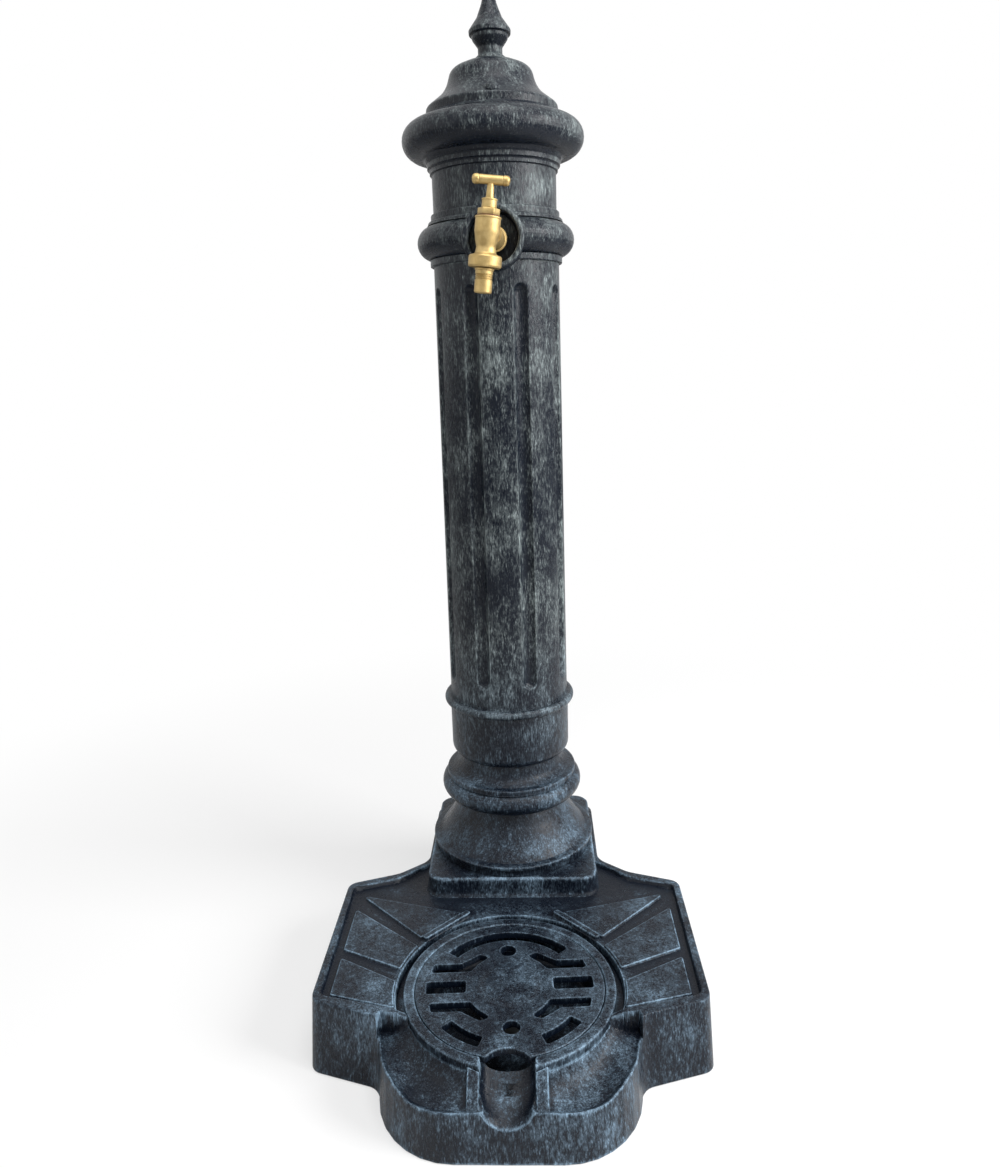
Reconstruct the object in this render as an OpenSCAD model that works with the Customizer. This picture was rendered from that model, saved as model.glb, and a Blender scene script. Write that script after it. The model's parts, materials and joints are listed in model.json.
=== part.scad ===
// Garden standpipe: a cast drip tray with a drain bowl and a lift-out grate, a turned pedestal, a fluted
// column, a capped head with a finial, and a brass tap fed by a riser pipe inside the column.
// The ground is z = 0, the front of the tray points to -y and the column stands at y = column_y.

/* [Tray] */
// Width of the tray at the ground
tray_w = 419; // [380:1:460]
// Distance from the column axis to the front of the nose
tray_front = 401; // [390:1:440]
// Distance from the column axis to the back of the tray
tray_back = 115; // [112:1:150]
// Height of the rim above the ground
tray_h = 82.5; // [78:0.5:95]
// How far the sides lean in between the ground and the rim
tray_draft = 5; // [2:0.5:9]
// Distance from the column axis to the front corner of a wing
wing_front = 293; // [286:1:300]
// Distance from the column axis to the back corner of a wing
wing_back = 84; // [70:1:100]
// How much further forward a wing reaches beside the nose
wing_sweep = 24; // [15:1:28]
// Width of the nose across its front corners
nose_w = 240; // [230:1:252]
// How much each side of the nose spreads towards the wings
nose_flare = 12; // [4:1:16]
// Radius of the front corners of the nose
nose_r = 80; // [40:1:84]
// Height of the lip round the nose
lip_h = 51; // [46:0.5:55]
// Width of the raised rim
rim_w = 8; // [5:0.5:12]
// Depth of the tray floor below the rim
floor_drop = 5; // [3:0.5:8]
// Height of the raised panels above the tray floor
panel_rise = 2.5; // [1:0.5:3]
// Thickness of the casting's walls
wall = 9; // [7:0.5:11]

/* [Grate and sump] */
// Distance from the column axis to the middle of the grate
grate_y = 261; // [255:1:268]
// Radius of the grate
grate_r = 99; // [92:0.5:102]
// Thickness of the grate
grate_t = 8; // [6:0.5:10]
// Width of the ledge that carries the grate
seat_w = 7; // [5:0.5:10]
// Width of the flat ring round the grate
ring_w = 11; // [8:0.5:14]
// Width of the gutter round the ring
gutter_w = 8; // [5:0.5:12]
// Depth of that gutter below the tray floor
gutter_depth = 9; // [7:0.5:12]
// Width of the ledge that carries the bowl
ledge_w = 5; // [3:0.5:6]
// Depth of the sump below the grate
sump_depth = 31; // [24:0.5:34]
// Turn of the grate in its seat, in degrees
grate_turn = 3; // [-8:0.5:8]
// Radius of the two finger holes
finger_r = 8.5; // [7:0.5:9.5]
// Distance from the middle of the grate to the back finger hole
finger_back = 54; // [52:0.5:56]
// Distance from the middle of the grate to the front finger hole
finger_front = 60; // [56:0.5:64]
// Width of the straight slots in the grate
slot_w = 17; // [8:0.5:18]
// Width of the bent slots in the grate
bent_w = 12; // [7:0.5:13]
// Width of the solid bar between a straight and a bent slot
slot_bar = 14.5; // [10:0.5:18]
// Width of the curved slots near the edge of the grate
curved_w = 13; // [7:0.5:14]
// Width of the solid edge outside the slots
slot_edge = 12; // [8:0.5:15]
// Radius of the overflow channel in the nose
channel_r = 26; // [20:0.5:28]
// Width of the ribs beside the channel
rib_w = 12.5; // [7:0.5:14]
// Distance between the two anchor holes
anchor_gap = 120; // [104:1:140]
// Radius of the anchor holes
anchor_r = 6.5; // [4:0.5:8]

/* [Waste] */
// Radius of the waste tail
waste_r = 20; // [16:0.5:22]
// Wall of the waste tail
waste_wall = 4; // [2.5:0.5:5]
// Radius of the waste flange
waste_flange_r = 32; // [30:0.5:36]
// Thickness of the waste flange
waste_flange_t = 3; // [2:0.5:4]
// Thickness of the waste gasket
gasket_t = 2; // [1:0.5:3]
// Height of the waste nut
waste_nut_h = 10; // [6:0.5:12]
// Radius of the plain end of the waste tail
waste_end_r = 19; // [15:0.5:19.5]
// Gap between the waste tail and the ground
waste_lift = 4; // [1:0.5:8]

/* [Plinth and pedestal] */
// Width of the square plinth
plinth_w = 208; // [206:1:214]
// Height of the plinth above the tray floor
plinth_h = 24; // [18:0.5:32]
// Radius of the plinth's corners
plinth_r = 20; // [10:1:30]
// Radius of the bell's rim
bell_r = 103.5; // [100:0.5:106]
// Height of the bell
bell_h = 71; // [64:0.5:80]
// Radius of the large ring above the bell
torus_r = 89; // [85:0.5:94]
// Thickness of the large ring
torus_t = 27; // [22:0.5:32]
// Height of the hollow neck above the large ring
neck_h = 30; // [26:0.5:36]
// Radius of the neck under the cup
neck_r = 62; // [60:0.5:66]
// Radius of the cup
cup_r = 74; // [73.5:0.5:78]
// Height of the cup
cup_h = 79; // [70:1:90]
// Radius of the bead round the top of the cup
bead_r = 81; // [79:0.5:84]
// Thickness of the bead
bead_t = 10; // [6:0.5:13]

/* [Shaft] */
// Height of the shaft that shows
shaft_h = 504; // [440:1:560]
// Radius of the shaft at its foot
shaft_r_foot = 73; // [71:0.5:73.5]
// Radius of the shaft at its top
shaft_r_top = 70; // [69:0.5:72]
// Radius of the bore through the shaft
shaft_bore = 54; // [53:0.5:55]
// Number of flutes
flute_count = 8; // [6:1:12]
// Radius of a flute's round bottom
flute_r = 9; // [7:0.5:11]
// Depth of a flute
flute_depth = 6; // [3:0.5:8]
// Plain length of shaft above and below the flutes
flute_margin = 23; // [16:1:40]
// Depth of the spigots that locate the castings
spigot_h = 16; // [10:1:20]

/* [Head] */
// Height of the collar round the tap
collar_h = 54; // [52:0.5:60]
// Radius of the collar
collar_r = 87; // [83:0.5:90]
// Thickness of the collar's round band
collar_t = 35; // [28:0.5:38]
// Height of the plain drum
drum_h = 40; // [32:0.5:50]
// Radius of the drum
drum_r = 68; // [67:0.5:70]
// Height of the stepped rings under the cap
steps_h = 17; // [14:0.5:22]
// Radius of the cap
cap_r = 98.5; // [94:0.5:104]
// Thickness of the cap's round band
cap_t = 34; // [28:0.5:40]
// Radius of the bore through the head
head_bore = 49; // [48:0.5:50]
// Radius of the ring round the tap
boss_r = 32; // [30:0.5:34]
// Width of the ring round the tap
boss_w = 6; // [4:0.5:7]
// Distance from the column axis to the face of that ring
boss_front = 92; // [89:0.5:96]
// Depth of the recess inside that ring
boss_depth = 22; // [19:0.5:23]

/* [Lid and finial] */
// Radius of the lid's foot
lid_r = 74; // [70:0.5:78]
// Height of the lid
lid_h = 57; // [52:0.5:66]
// Radius of the lid's shoulder
shoulder_r = 47; // [42:0.5:52]
// Thickness of the lid
lid_wall = 6; // [4:0.5:8]
// Radius of the lid's locating lip
lid_lip_r = 48; // [46:0.5:48.5]
// Height of the finial
finial_h = 84; // [76:1:100]
// Radius of the finial's bead
finial_r = 22; // [19:0.5:26]
// Radius of the finial's neck
finial_neck_r = 13.5; // [11:0.5:15]

/* [Tie rod] */
// Radius of the tie rod
rod_r = 5; // [4:0.5:6]
// Depth of the rod in the finial
rod_grip = 26; // [15:1:40]
// Length of the bar under the plinth
bar_l = 170; // [130:1:180]
// Width of that bar
bar_w = 28; // [20:1:32]
// Thickness of that bar
bar_t = 6; // [4:0.5:8]
// Height of the rod's nut
rod_nut_h = 8; // [5:0.5:10]
// Thickness of the rod's washers
washer_t = 2; // [1:0.5:3]

/* [Riser] */
// Distance from the column axis to the riser pipe
riser_y = 30; // [29:0.5:31]
// Outer radius of the riser pipe
riser_r = 11; // [10:0.5:11.5]
// Wall of the riser pipe
riser_wall = 2; // [1.5:0.5:3]
// Height of the inlet above the ground
inlet_z = 14; // [8:1:30]
// Length of the inlet socket
socket_l = 38; // [30:1:48]
// Radius of the threaded inlet
inlet_r = 9.3; // [8:0.1:10]
// Number of clips that tie the riser to the rod
clip_count = 3; // [1:1:5]
// Thickness of a clip
clip_t = 10; // [6:0.5:14]

/* [Tap] */
// Height of the tap's inlet above the foot of the head
tap_rise = 20; // [19:0.5:22]
// Distance from the column axis to the axis of the tap
tap_reach = 125; // [122:0.5:135]
// Sideways offset of the tap in its ring
tap_shift = -4; // [-5:0.5:5]
// Lean of the tap, in degrees
tap_lean = 6.5; // [-10:0.5:10]
// Radius of the tap's body
body_r = 12.5; // [11.5:0.1:13.5]
// Height of the body above the inlet
body_up = 14; // [12:0.5:18]
// Depth of the body below the inlet
body_down = 28; // [26:0.5:34]
// Radius of the tap's flange
flange_r = 13.5; // [13:0.5:17]
// Radius of the tap's inlet thread
shank_r = 10.2; // [9:0.1:10.5]
// Radius of the waterway in the tap's outlet and tail
way_r = 6; // [5:0.1:6.5]
// Radius of the round band of the union nut
union_r = 16.5; // [15.5:0.1:18]
// Height of the union nut
union_h = 13; // [12:0.5:16]
// Radius of the hose tail
tail_r = 8.8; // [8:0.1:9.5]
// Length of the hose tail below the union nut
tail_l = 23; // [20:0.5:35]
// Height of the bonnet's six-sided collar
bonnet_h = 6.5; // [5:0.5:9]
// Height of the gland nut
gland_h = 9; // [8:0.5:12]
// Radius of the gland nut
gland_r = 7.5; // [7.1:0.1:8.5]
// Radius of the spindle's stem
stem_r = 4; // [3.5:0.1:4.2]
// Length of stem that shows below the tee when shut
stem_l = 12; // [9:0.5:18]
// Length of the tee bar
tee_l = 37; // [32:0.5:46]
// Radius of the tee bar
tee_r = 4.8; // [4.4:0.1:5.5]
// Radius of the peg that carries the tee
peg_r = 2; // [1.5:0.1:2.4]
// Radius of the jumper's stem
jumper_r = 2.5; // [2:0.1:2.8]
// Radius of the stud that holds the valve washer
stud_r = 2; // [1.5:0.1:2.4]
// Lift of the valve from shut to fully open
valve_lift = 4; // [3:0.5:4]

/* [Fits] */
// Gap between parts that slide or lift out
slide_gap = 0.6; // [0.4:0.1:1]
// Gap between parts that are screwed or slipped together
screw_gap = 0.15; // [0.1:0.05:0.3]

/* [Hidden] */
$fn = 96;

// Colours of the finishes
iron = [0.16, 0.19, 0.22];
brass = [0.80, 0.62, 0.30];
steel = [0.62, 0.64, 0.66];
rubber = [0.09, 0.09, 0.09];
fibre = [0.55, 0.20, 0.16];

// A cut runs this far past the face that it opens
past = 1;

// Heights of the stack, from the ground up
column_y = (tray_front - tray_back) / 2;
floor_z = tray_h - floor_drop;
plinth_z = floor_z + plinth_h;
torus_z = plinth_z + bell_h + torus_t / 2;
cup_z = plinth_z + bell_h + torus_t + neck_h;
shaft_z = cup_z + cup_h;
head_z = shaft_z + shaft_h;
drum_z = head_z + collar_h;
steps_z = drum_z + drum_h;
cap_z = steps_z + steps_h;
lid_z = cap_z + cap_t + 1;
finial_z = lid_z + lid_h + washer_t;
tap_z = head_z + tap_rise;

// Places in the tray, with y measured from the column axis
rim_scale = 1 - 2 * tray_draft / tray_w;
rim_x = tray_w / 2 - tray_draft - rim_w;
ring_r = grate_r + slide_gap + ring_w;
gutter_r = ring_r + gutter_w;
ledge_z = floor_z - gutter_depth;
bowl_r = ring_r - ledge_w;
ring_z = floor_z + 2;
seat_z = ring_z - grate_t;
sump_z = seat_z - sump_depth;
sump_r = grate_r - seat_w;
nose_fillet = max(1, min(20, 1.5 * (tray_front - wing_front - wing_sweep - 0.87 * nose_r)));
cone_r = ring_r + 33;
cone_z = lip_h + 19;
cone_fall = (cone_z - lip_h) / (cone_r - ring_r);
under_z = sump_z - wall;
// Corner where the inner wall of a wing meets its front
brink = [nose_w / 2 + nose_flare, rim_w - (wing_front + wing_sweep) * rim_scale];
top_t = wall;

// Channel in the nose: its floor falls from the ring to the lip
channel_back = grate_y + grate_r - channel_r + 10;
channel_front = tray_front * rim_scale;
channel_drop = 22;
channel_floor = lip_h - 13;
channel_tilt = atan(channel_drop / (channel_front - channel_back));
// Distance from the edge of the grate to the middle of its notch over the channel
notch_y = 12;

// Parts of the column
spigot_r = cup_r - 12;
socket_r = spigot_r + screw_gap;
boss_back = boss_front - boss_depth;
boss_pad = 46;
elbow_r = 15;
nose_out_r = shank_r + 2.7;
locknut_r = nose_out_r + 2;
notch_w = 3;
notch_d = 0.8;
nose_end = boss_back + 10;
flange_t = 4;
shank_l = 18;
washer_gap = 2.5;
flange_y = tap_reach - nose_end - washer_gap;
bar_top = plinth_z - top_t;
rod_foot = bar_top - bar_t - washer_t - rod_nut_h - 4;
rod_top = finial_z + rod_grip;
riser_foot = inlet_z + socket_l - 16;
elbow_foot = tap_z - 28;
riser_grip = 14;

// Heights in the tap, measured from its inlet along its own axis
chamber_r = body_r - 3.4;
seat_h = -6;
valve_foot = seat_h + 0.1;
washer_r = chamber_r - 1;
valve_t = 3;
plate_t = 2;
valve_nut_h = 2.6;
jumper_l = 10;
bonnet_z = body_up + 1;
neck_z = bonnet_z + bonnet_h;
gland_top = neck_z + gland_h;
tee_z = gland_top + stem_l + tee_r;
screw_r = chamber_r - 2.6;
screw_foot = valve_foot + valve_t + plate_t + 0.3;
screw_top = bonnet_z - 1;
union_z = -body_down + 8 - 1;
tail_flange = 2;
outlet_r = union_r - 3.5;

function unit(v) = v / norm(v);
function wrap(a) = a > 180 ? a - 360 : a < -180 ? a + 360 : a;
function flat(p) = [p[0], p[1]];

// Points of the arc that rounds corner b, whose third number is the radius
function corner(a, b, c, steps) =
    let (p = flat(b), r = b[2], u = unit(flat(a) - p), v = unit(flat(c) - p), half = acos(u * v) / 2,
        o = p + unit(u + v) * r / sin(half), s = p + u * r / tan(half), e = p + v * r / tan(half),
        from = atan2(s[1] - o[1], s[0] - o[0]), sweep = wrap(atan2(e[1] - o[1], e[0] - o[0]) - from))
    r == 0 ? [p] : [for (i = [0:steps]) let (t = from + sweep * i / steps) o + r * [cos(t), sin(t)]];

// Outline through corners [x, y, radius], each rounded by its own radius, with no point twice
function rounded(list, steps = 6) =
    let (n = len(list),
        all = [for (i = [0:n - 1]) each corner(list[(i + n - 1) % n], list[i], list[(i + 1) % n], steps)])
    [for (i = [0:len(all) - 1]) if (norm(all[i] - all[(i + 1) % len(all)]) > 0.01) all[i]];

// The same corners on both sides of the y axis
function both_sides(list) =
    concat(list, [for (i = [len(list) - 1:-1:0]) [-list[i][0], list[i][1], list[i][2]]]);

module turned(list, steps = 6) rotate_extrude() polygon(rounded(list, steps));
module at_column(z = 0) translate([0, column_y, z]) children();
module at_grate(z = 0) translate([0, column_y - grate_y, z]) children();
module at_tap(z = 0) translate([tap_shift, column_y - tap_reach, tap_z]) rotate([0, tap_lean, 0])
    translate([0, 0, z]) children();
module towards_front() rotate([90, 0, 0]) children();
module towards_back() rotate([-90, 0, 0]) children();
module both() {
    children();
    mirror([1, 0, 0]) children();
}
module ring(outer, inner, h) difference() {
    cylinder(r = outer, h = h);
    translate([0, 0, -past]) cylinder(r = inner, h = h + 2 * past);
}
module six_sided(outer, inner, h) difference() {
    cylinder(r = outer, h = h, $fn = 6);
    translate([0, 0, -past]) cylinder(r = inner, h = h + 2 * past);
}

// Outline of the tray on the ground
tray_corners = both_sides([
    [nose_w / 2, -tray_front, nose_r],
    [nose_w / 2 + nose_flare, -wing_front - wing_sweep, nose_fillet],
    [tray_w / 2, -wing_front, 8],
    [tray_w / 2, -wing_back, 14],
    [plinth_w / 2 + 44, 22 - wing_back, 40],
    [plinth_w / 2 + 8, 52 - wing_back, 24],
    [plinth_w / 2 + 8, tray_back, plinth_r]]);

// Outline of the sunk floor inside the rim
floor_corners = both_sides([
    [ring_r - 8, -(wing_front + wing_sweep) * rim_scale + rim_w, 0],
    [rim_x, -wing_front * rim_scale + rim_w, 6],
    [rim_x, -wing_back * rim_scale - rim_w, 8],
    [plinth_w / 2 + 40, 12 - wing_back, 36],
    [plinth_w / 2 + 2, 46 - wing_back, 0]]);

module rounded_square(w, r, h) linear_extrude(h) polygon(rounded([
    [-w / 2, -w / 2, r], [w / 2, -w / 2, r], [w / 2, w / 2, r], [-w / 2, w / 2, r]]));

// Area in front of the wings and the ring, less the two ribs
module nose_area() difference() {
    polygon(rounded(both_sides([
        [ring_r - 8, -(wing_front + wing_sweep) * rim_scale + 1, 0],
        [brink[0], brink[1], 0],
        [brink[0], -tray_front - past, 0]])));
    translate([0, -grate_y]) circle(r = ring_r);
    translate([-channel_r - rib_w, -tray_front - 2 * past]) square([2 * (channel_r + rib_w), tray_front]);
}

// Space over the nose, down to a cone that falls from the ring to the lip
module nose_cut() difference() {
    translate([0, 0, under_z]) linear_extrude(tray_h) nose_area();
    translate([0, -grate_y, 0])
        cylinder(r1 = ring_r + cone_z / cone_fall, r2 = 0, h = cone_z + ring_r * cone_fall);
}

// Space over the ribs, whose tops fall from the ring to the lip
module rib_cut() rotate([90, 0, 90]) translate([0, 0, -channel_r - rib_w])
    linear_extrude(2 * (channel_r + rib_w)) polygon([
        [-grate_y - ring_r + 6, ring_z], [-channel_front, lip_h], [-tray_front - past, lip_h - 4],
        [-tray_front - past, tray_h + past], [-grate_y - ring_r + 6, tray_h + past]]);

// Round channel that runs out of the sump and down through the lip
module channel_cut() translate([0, -channel_front, channel_floor + channel_r])
    rotate([channel_tilt, 0, 0]) translate([0, -2 * wall, 0]) towards_back()
        cylinder(r = channel_r, h = channel_front - channel_back + 4 * wall);

// Raised panel between two heights on the rim side and two angles on the ring side
module panel(out_a, in_a, out_b, in_b) linear_extrude(panel_rise + past)
    polygon([[rim_x - 10, out_a], ring_r * [cos(in_a), sin(in_a)],
        ring_r * [cos(in_b), sin(in_b)], [rim_x - 10, out_b]]);

module panels() {
    panel(132, 32, 57, 11);
    panel(43, 4, -14, -17);
    // Three-sided panel behind the others, with a raised bar along its inner edge
    inner = (gutter_r - 1) * [cos(37), sin(37)];
    tip = [50, gutter_r];
    linear_extrude(panel_rise + past) polygon([[rim_x - 10, 160], tip, inner]);
    linear_extrude(panel_rise + 2 + past) polygon([inner, tip, tip + [6, 3], inner + [6, 3]]);
}

module cavities() {
    // Under the wings
    both() translate([gutter_r, -wing_front + wall + 4, -past])
        cube([rim_x - gutter_r - 1, wing_front - wing_back - 3 * wall, floor_z - top_t + past]);
    // Under the plinth and the floor in front of it
    translate([-plinth_w / 2 + wall, -grate_y + gutter_r + wall / 2, -past])
        cube([plinth_w - 2 * wall, grate_y - gutter_r - plinth_w / 2 + wall, floor_z - top_t + past]);
    translate([-plinth_w / 2 + wall, -plinth_w / 2 + wall, -past])
        cube([plinth_w - 2 * wall, plinth_w - 2 * wall, bar_top + past]);
    // For the drain bowl, its flange and the gutter round it
    translate([0, -grate_y, 0]) {
        translate([0, 0, -past]) cylinder(r = bowl_r + slide_gap, h = tray_h);
        translate([0, 0, ledge_z]) cylinder(r = ring_r + slide_gap, h = tray_h);
    }
    translate([0, 0, ledge_z]) linear_extrude(tray_h) intersection() {
        translate([0, -grate_y]) circle(r = gutter_r);
        translate([-tray_w / 2, -(wing_front + wing_sweep) * rim_scale]) square(tray_w);
    }
}

module base_casting() color(iron) at_column() difference() {
    union() {
        difference() {
            linear_extrude(tray_h, scale = rim_scale) polygon(rounded(tray_corners));
            translate([0, 0, floor_z]) linear_extrude(tray_h) polygon(rounded(floor_corners));
            nose_cut();
            rib_cut();
        }
        rounded_square(plinth_w, plinth_r, plinth_z);
        both() translate([0, -grate_y, floor_z - past]) panels();
    }
    cavities();
    channel_cut();
    translate([0, 0, bar_top - past]) cylinder(r = shaft_bore, h = top_t + 2 * past);
}

// Bowl that hangs in the tray by its flange, with two feet for the anchor bolts
module sump_bowl() color(iron) at_grate() difference() {
    union() {
        translate([0, 0, under_z]) cylinder(r = sump_r + wall, h = ring_z - under_z);
        translate([0, 0, ledge_z - wall]) cylinder(r = bowl_r, h = wall + past);
        translate([0, 0, ledge_z]) cylinder(r = ring_r, h = ring_z - ledge_z);
        both() translate([anchor_gap / 2, 0, 0]) cylinder(r = anchor_r + 8, h = under_z + past);
    }
    translate([0, 0, seat_z]) cylinder(r = grate_r + slide_gap, h = tray_h);
    translate([0, 0, sump_z]) cylinder(r = sump_r, h = tray_h);
    cylinder(r = waste_r + slide_gap, h = tray_h);
    both() translate([anchor_gap / 2, 0, -past]) cylinder(r = anchor_r, h = tray_h);
    translate([0, grate_y, 0]) channel_cut();
}

module waste_body() color(steel) at_grate() difference() {
    union() {
        translate([0, 0, waste_lift]) cylinder(r = waste_end_r, h = sump_z - waste_lift);
        translate([0, 0, under_z - waste_nut_h - 1.5])
            cylinder(r = waste_r, h = wall + waste_nut_h + gasket_t + waste_flange_t + 1.5);
        translate([0, 0, sump_z + gasket_t]) cylinder(r = waste_flange_r, h = waste_flange_t);
    }
    cylinder(r = waste_r - waste_wall, h = tray_h);
}

module waste_gasket() color(rubber) at_grate(sump_z) ring(waste_flange_r, waste_r + screw_gap, gasket_t);

module waste_nut() color(steel) at_grate(under_z - waste_nut_h)
    six_sided(waste_flange_r + 3, waste_r + screw_gap, waste_nut_h);

module waste_strainer() color(steel) at_grate(sump_z) {
    hole_ring = (waste_r - waste_wall) * 0.6;
    difference() {
        cylinder(r = waste_r - waste_wall - screw_gap, h = gasket_t + waste_flange_t);
        translate([0, 0, -past]) cylinder(r = 2.5, h = 2 * grate_t);
        for (a = [0:60:300]) rotate(a) translate([hole_ring, 0, -past]) cylinder(r = 2.5, h = 2 * grate_t);
    }
}

// Slots of the grate on one side, in its own plane
module bent_slot() translate([0, slot_w / 2 + slot_bar]) polygon([
    [41, 0], [grate_r - slot_edge - 4, 0], [grate_r - slot_edge - 7, bent_w], [51, bent_w],
    [31, bent_w + 14], [21, bent_w + 10], [34, bent_w - 2]]);
module sector(outer, inner, from, to) difference() {
    circle(r = outer);
    circle(r = inner);
    polygon(concat([[0, 0]], [for (i = [0:6]) 2 * outer * [cos(to + (360 + from - to) * i / 6),
        sin(to + (360 + from - to) * i / 6)]]));
}
module grate_slots() {
    both() {
        bent_slot();
        mirror([0, 1]) bent_slot();
        translate([46, -slot_w / 2]) square([grate_r - slot_edge - 46, slot_w]);
        sector(grate_r - slot_edge + 2, grate_r - slot_edge + 2 - curved_w, -68, -39);
    }
    sector(grate_r - slot_edge - 2, grate_r - slot_edge - 2 - curved_w, 40, 140);
    translate([0, finger_back]) circle(r = finger_r);
    translate([0, -finger_front]) circle(r = finger_r);
}

module drain_grate() color(iron) at_grate(seat_z) difference() {
    cylinder(r = grate_r, h = grate_t);
    translate([0, 0, -past]) linear_extrude(grate_t + 2 * past) rotate(grate_turn) grate_slots();
    translate([0, -grate_r - notch_y, -past]) cylinder(r = channel_r - 1, h = grate_t + 2 * past);
}

module pedestal() color(iron) at_column() turned([
    [bell_r - 3, plinth_z, 0],
    [bell_r - 3, plinth_z + 9, 0.8],
    [bell_r, plinth_z + 9.5, 0.8],
    [bell_r, plinth_z + 13.5, 1.6],
    [bell_r - 8, plinth_z + 15, 1],
    [bell_r - 19.5, plinth_z + bell_h * 0.44, 40],
    [bell_r - 31.5, plinth_z + bell_h * 0.7, 40],
    [neck_r, plinth_z + bell_h, 0],
    [torus_r, plinth_z + bell_h, torus_t / 2],
    [torus_r, torus_z + torus_t / 2, torus_t / 2],
    [torus_r - 7, torus_z + torus_t / 2, 0],
    [torus_r - 7, torus_z + torus_t / 2 + 6, 2],
    [neck_r + 13, torus_z + torus_t / 2 + 7, 1],
    [neck_r + 5, torus_z + torus_t / 2 + 12, 14],
    [neck_r, cup_z, 0.5],
    [cup_r, cup_z, 11],
    [cup_r, shaft_z - 2 - bead_t, 1],
    [bead_r, shaft_z - 2 - bead_t, bead_t / 2 - 0.2],
    [bead_r, shaft_z - 2, bead_t / 2 - 0.2],
    [cup_r - 0.4, shaft_z - 2, 0],
    [cup_r - 0.4, shaft_z, 0],
    [socket_r, shaft_z, 0],
    [socket_r, shaft_z - spigot_h - slide_gap, 0],
    [neck_r - 9, shaft_z - spigot_h - 10, 0],
    [neck_r - 9, plinth_z + bell_h + 1, 10],
    [bell_r - 18.5, plinth_z + 13, 8],
    [bell_r - 18.5, plinth_z, 0]]);

module flute(z) translate([0, 0, z]) {
    run = shaft_h - 2 * (flute_margin + flute_r);
    lean = atan((shaft_r_foot - shaft_r_top) / shaft_h);
    foot_r = shaft_r_foot + flute_r - flute_depth;
    translate([foot_r, 0, 0]) rotate([0, -lean, 0]) translate([0, 0, flute_margin + flute_r]) {
        cylinder(r = flute_r, h = run);
        sphere(r = flute_r);
        translate([0, 0, run]) sphere(r = flute_r);
    }
}

module fluted_shaft() color(iron) at_column() difference() {
    turned([
        [spigot_r, shaft_z - spigot_h, 1],
        [spigot_r, shaft_z, 0],
        [shaft_r_foot, shaft_z, 0],
        [shaft_r_top, head_z, 0],
        [shaft_bore, head_z, 0],
        [shaft_bore, shaft_z - spigot_h, 0]]);
    for (i = [0:flute_count - 1]) rotate(-90 + (i + 0.5) * 360 / flute_count) flute(shaft_z);
    // Room for the ring round the tap
    translate([0, 0, tap_z]) towards_front() cylinder(r = boss_r + slide_gap, h = 2 * shaft_r_foot);
}

module head_casting() color(iron) at_column() difference() {
    union() {
        turned([
            [shaft_bore - screw_gap, head_z - spigot_h, 1],
            [shaft_bore - screw_gap, head_z, 0],
            [shaft_r_top + 3.5, head_z, 1],
            [shaft_r_top + 3.5, head_z + 7, 0],
            [collar_r, head_z + 7, collar_t / 2],
            [collar_r, head_z + 7 + collar_t, collar_t / 2],
            [drum_r + 7, head_z + 7 + collar_t, 0],
            [drum_r + 6, head_z + 11 + collar_t, 2],
            [drum_r + 3, head_z + 11.5 + collar_t, 0.5],
            [drum_r + 3, drum_z - 0.5, 1.5],
            [drum_r, drum_z, 0.5],
            [drum_r, steps_z, 0.5],
            [drum_r + 2, steps_z + 0.5, 0.5],
            [drum_r + 2, steps_z + 5, 2],
            [drum_r + 4.5, steps_z + 6, 0.5],
            [drum_r + 4.5, steps_z + 11, 2],
            [drum_r + 6, steps_z + 12, 0.5],
            [cap_r - 22, cap_z - 1, 3],
            [cap_r, cap_z, cap_t / 2],
            [cap_r, cap_z + cap_t, cap_t / 2],
            [lid_r + 5, cap_z + cap_t, 1],
            [lid_r + 4, lid_z, 0],
            [head_bore, lid_z, 0],
            [head_bore, head_z - spigot_h, 0]]);
        translate([0, 0, tap_z]) towards_front() {
            translate([0, 0, boss_pad + 6]) cylinder(r = boss_r, h = boss_front - boss_pad - 6);
            translate([tap_shift, 0, boss_pad]) cylinder(r = elbow_r + 3, h = wall);
        }
    }
    translate([0, 0, tap_z]) towards_front() {
        translate([0, 0, boss_back]) cylinder(r = boss_r - boss_w, h = boss_depth + past);
        translate([tap_shift, 0, 0]) cylinder(r = nose_out_r + screw_gap, h = boss_front);
    }
}

module dome_lid() color(iron) at_column() turned([
    [lid_lip_r, lid_z - 8, 1],
    [lid_lip_r, lid_z, 0],
    [lid_r + 2, lid_z, 0],
    [lid_r + 2, lid_z + 2, 0.8],
    [lid_r - 3, lid_z + 5, 1],
    [lid_r - 3, lid_z + 13, 4],
    [shoulder_r + 2.5, lid_z + lid_h * 0.51, 26],
    [shoulder_r - 3.5, lid_z + lid_h - 7, 12],
    [finial_neck_r + 16, lid_z + lid_h - 1, 2],
    [finial_neck_r + 12, lid_z + lid_h, 1],
    [rod_r + screw_gap, lid_z + lid_h, 0],
    [rod_r + screw_gap, lid_z + lid_h - 2 * lid_wall, 0],
    [rod_r + 8, lid_z + lid_h - 2 * lid_wall, 2],
    [rod_r + 11, lid_z + lid_h - lid_wall - 1, 2],
    [shoulder_r - lid_wall - 8, lid_z + lid_h - lid_wall - 3, 4],
    [lid_lip_r - lid_wall, lid_z + lid_h * 0.4, 8],
    [lid_lip_r - lid_wall, lid_z - 8, 0]]);

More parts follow.
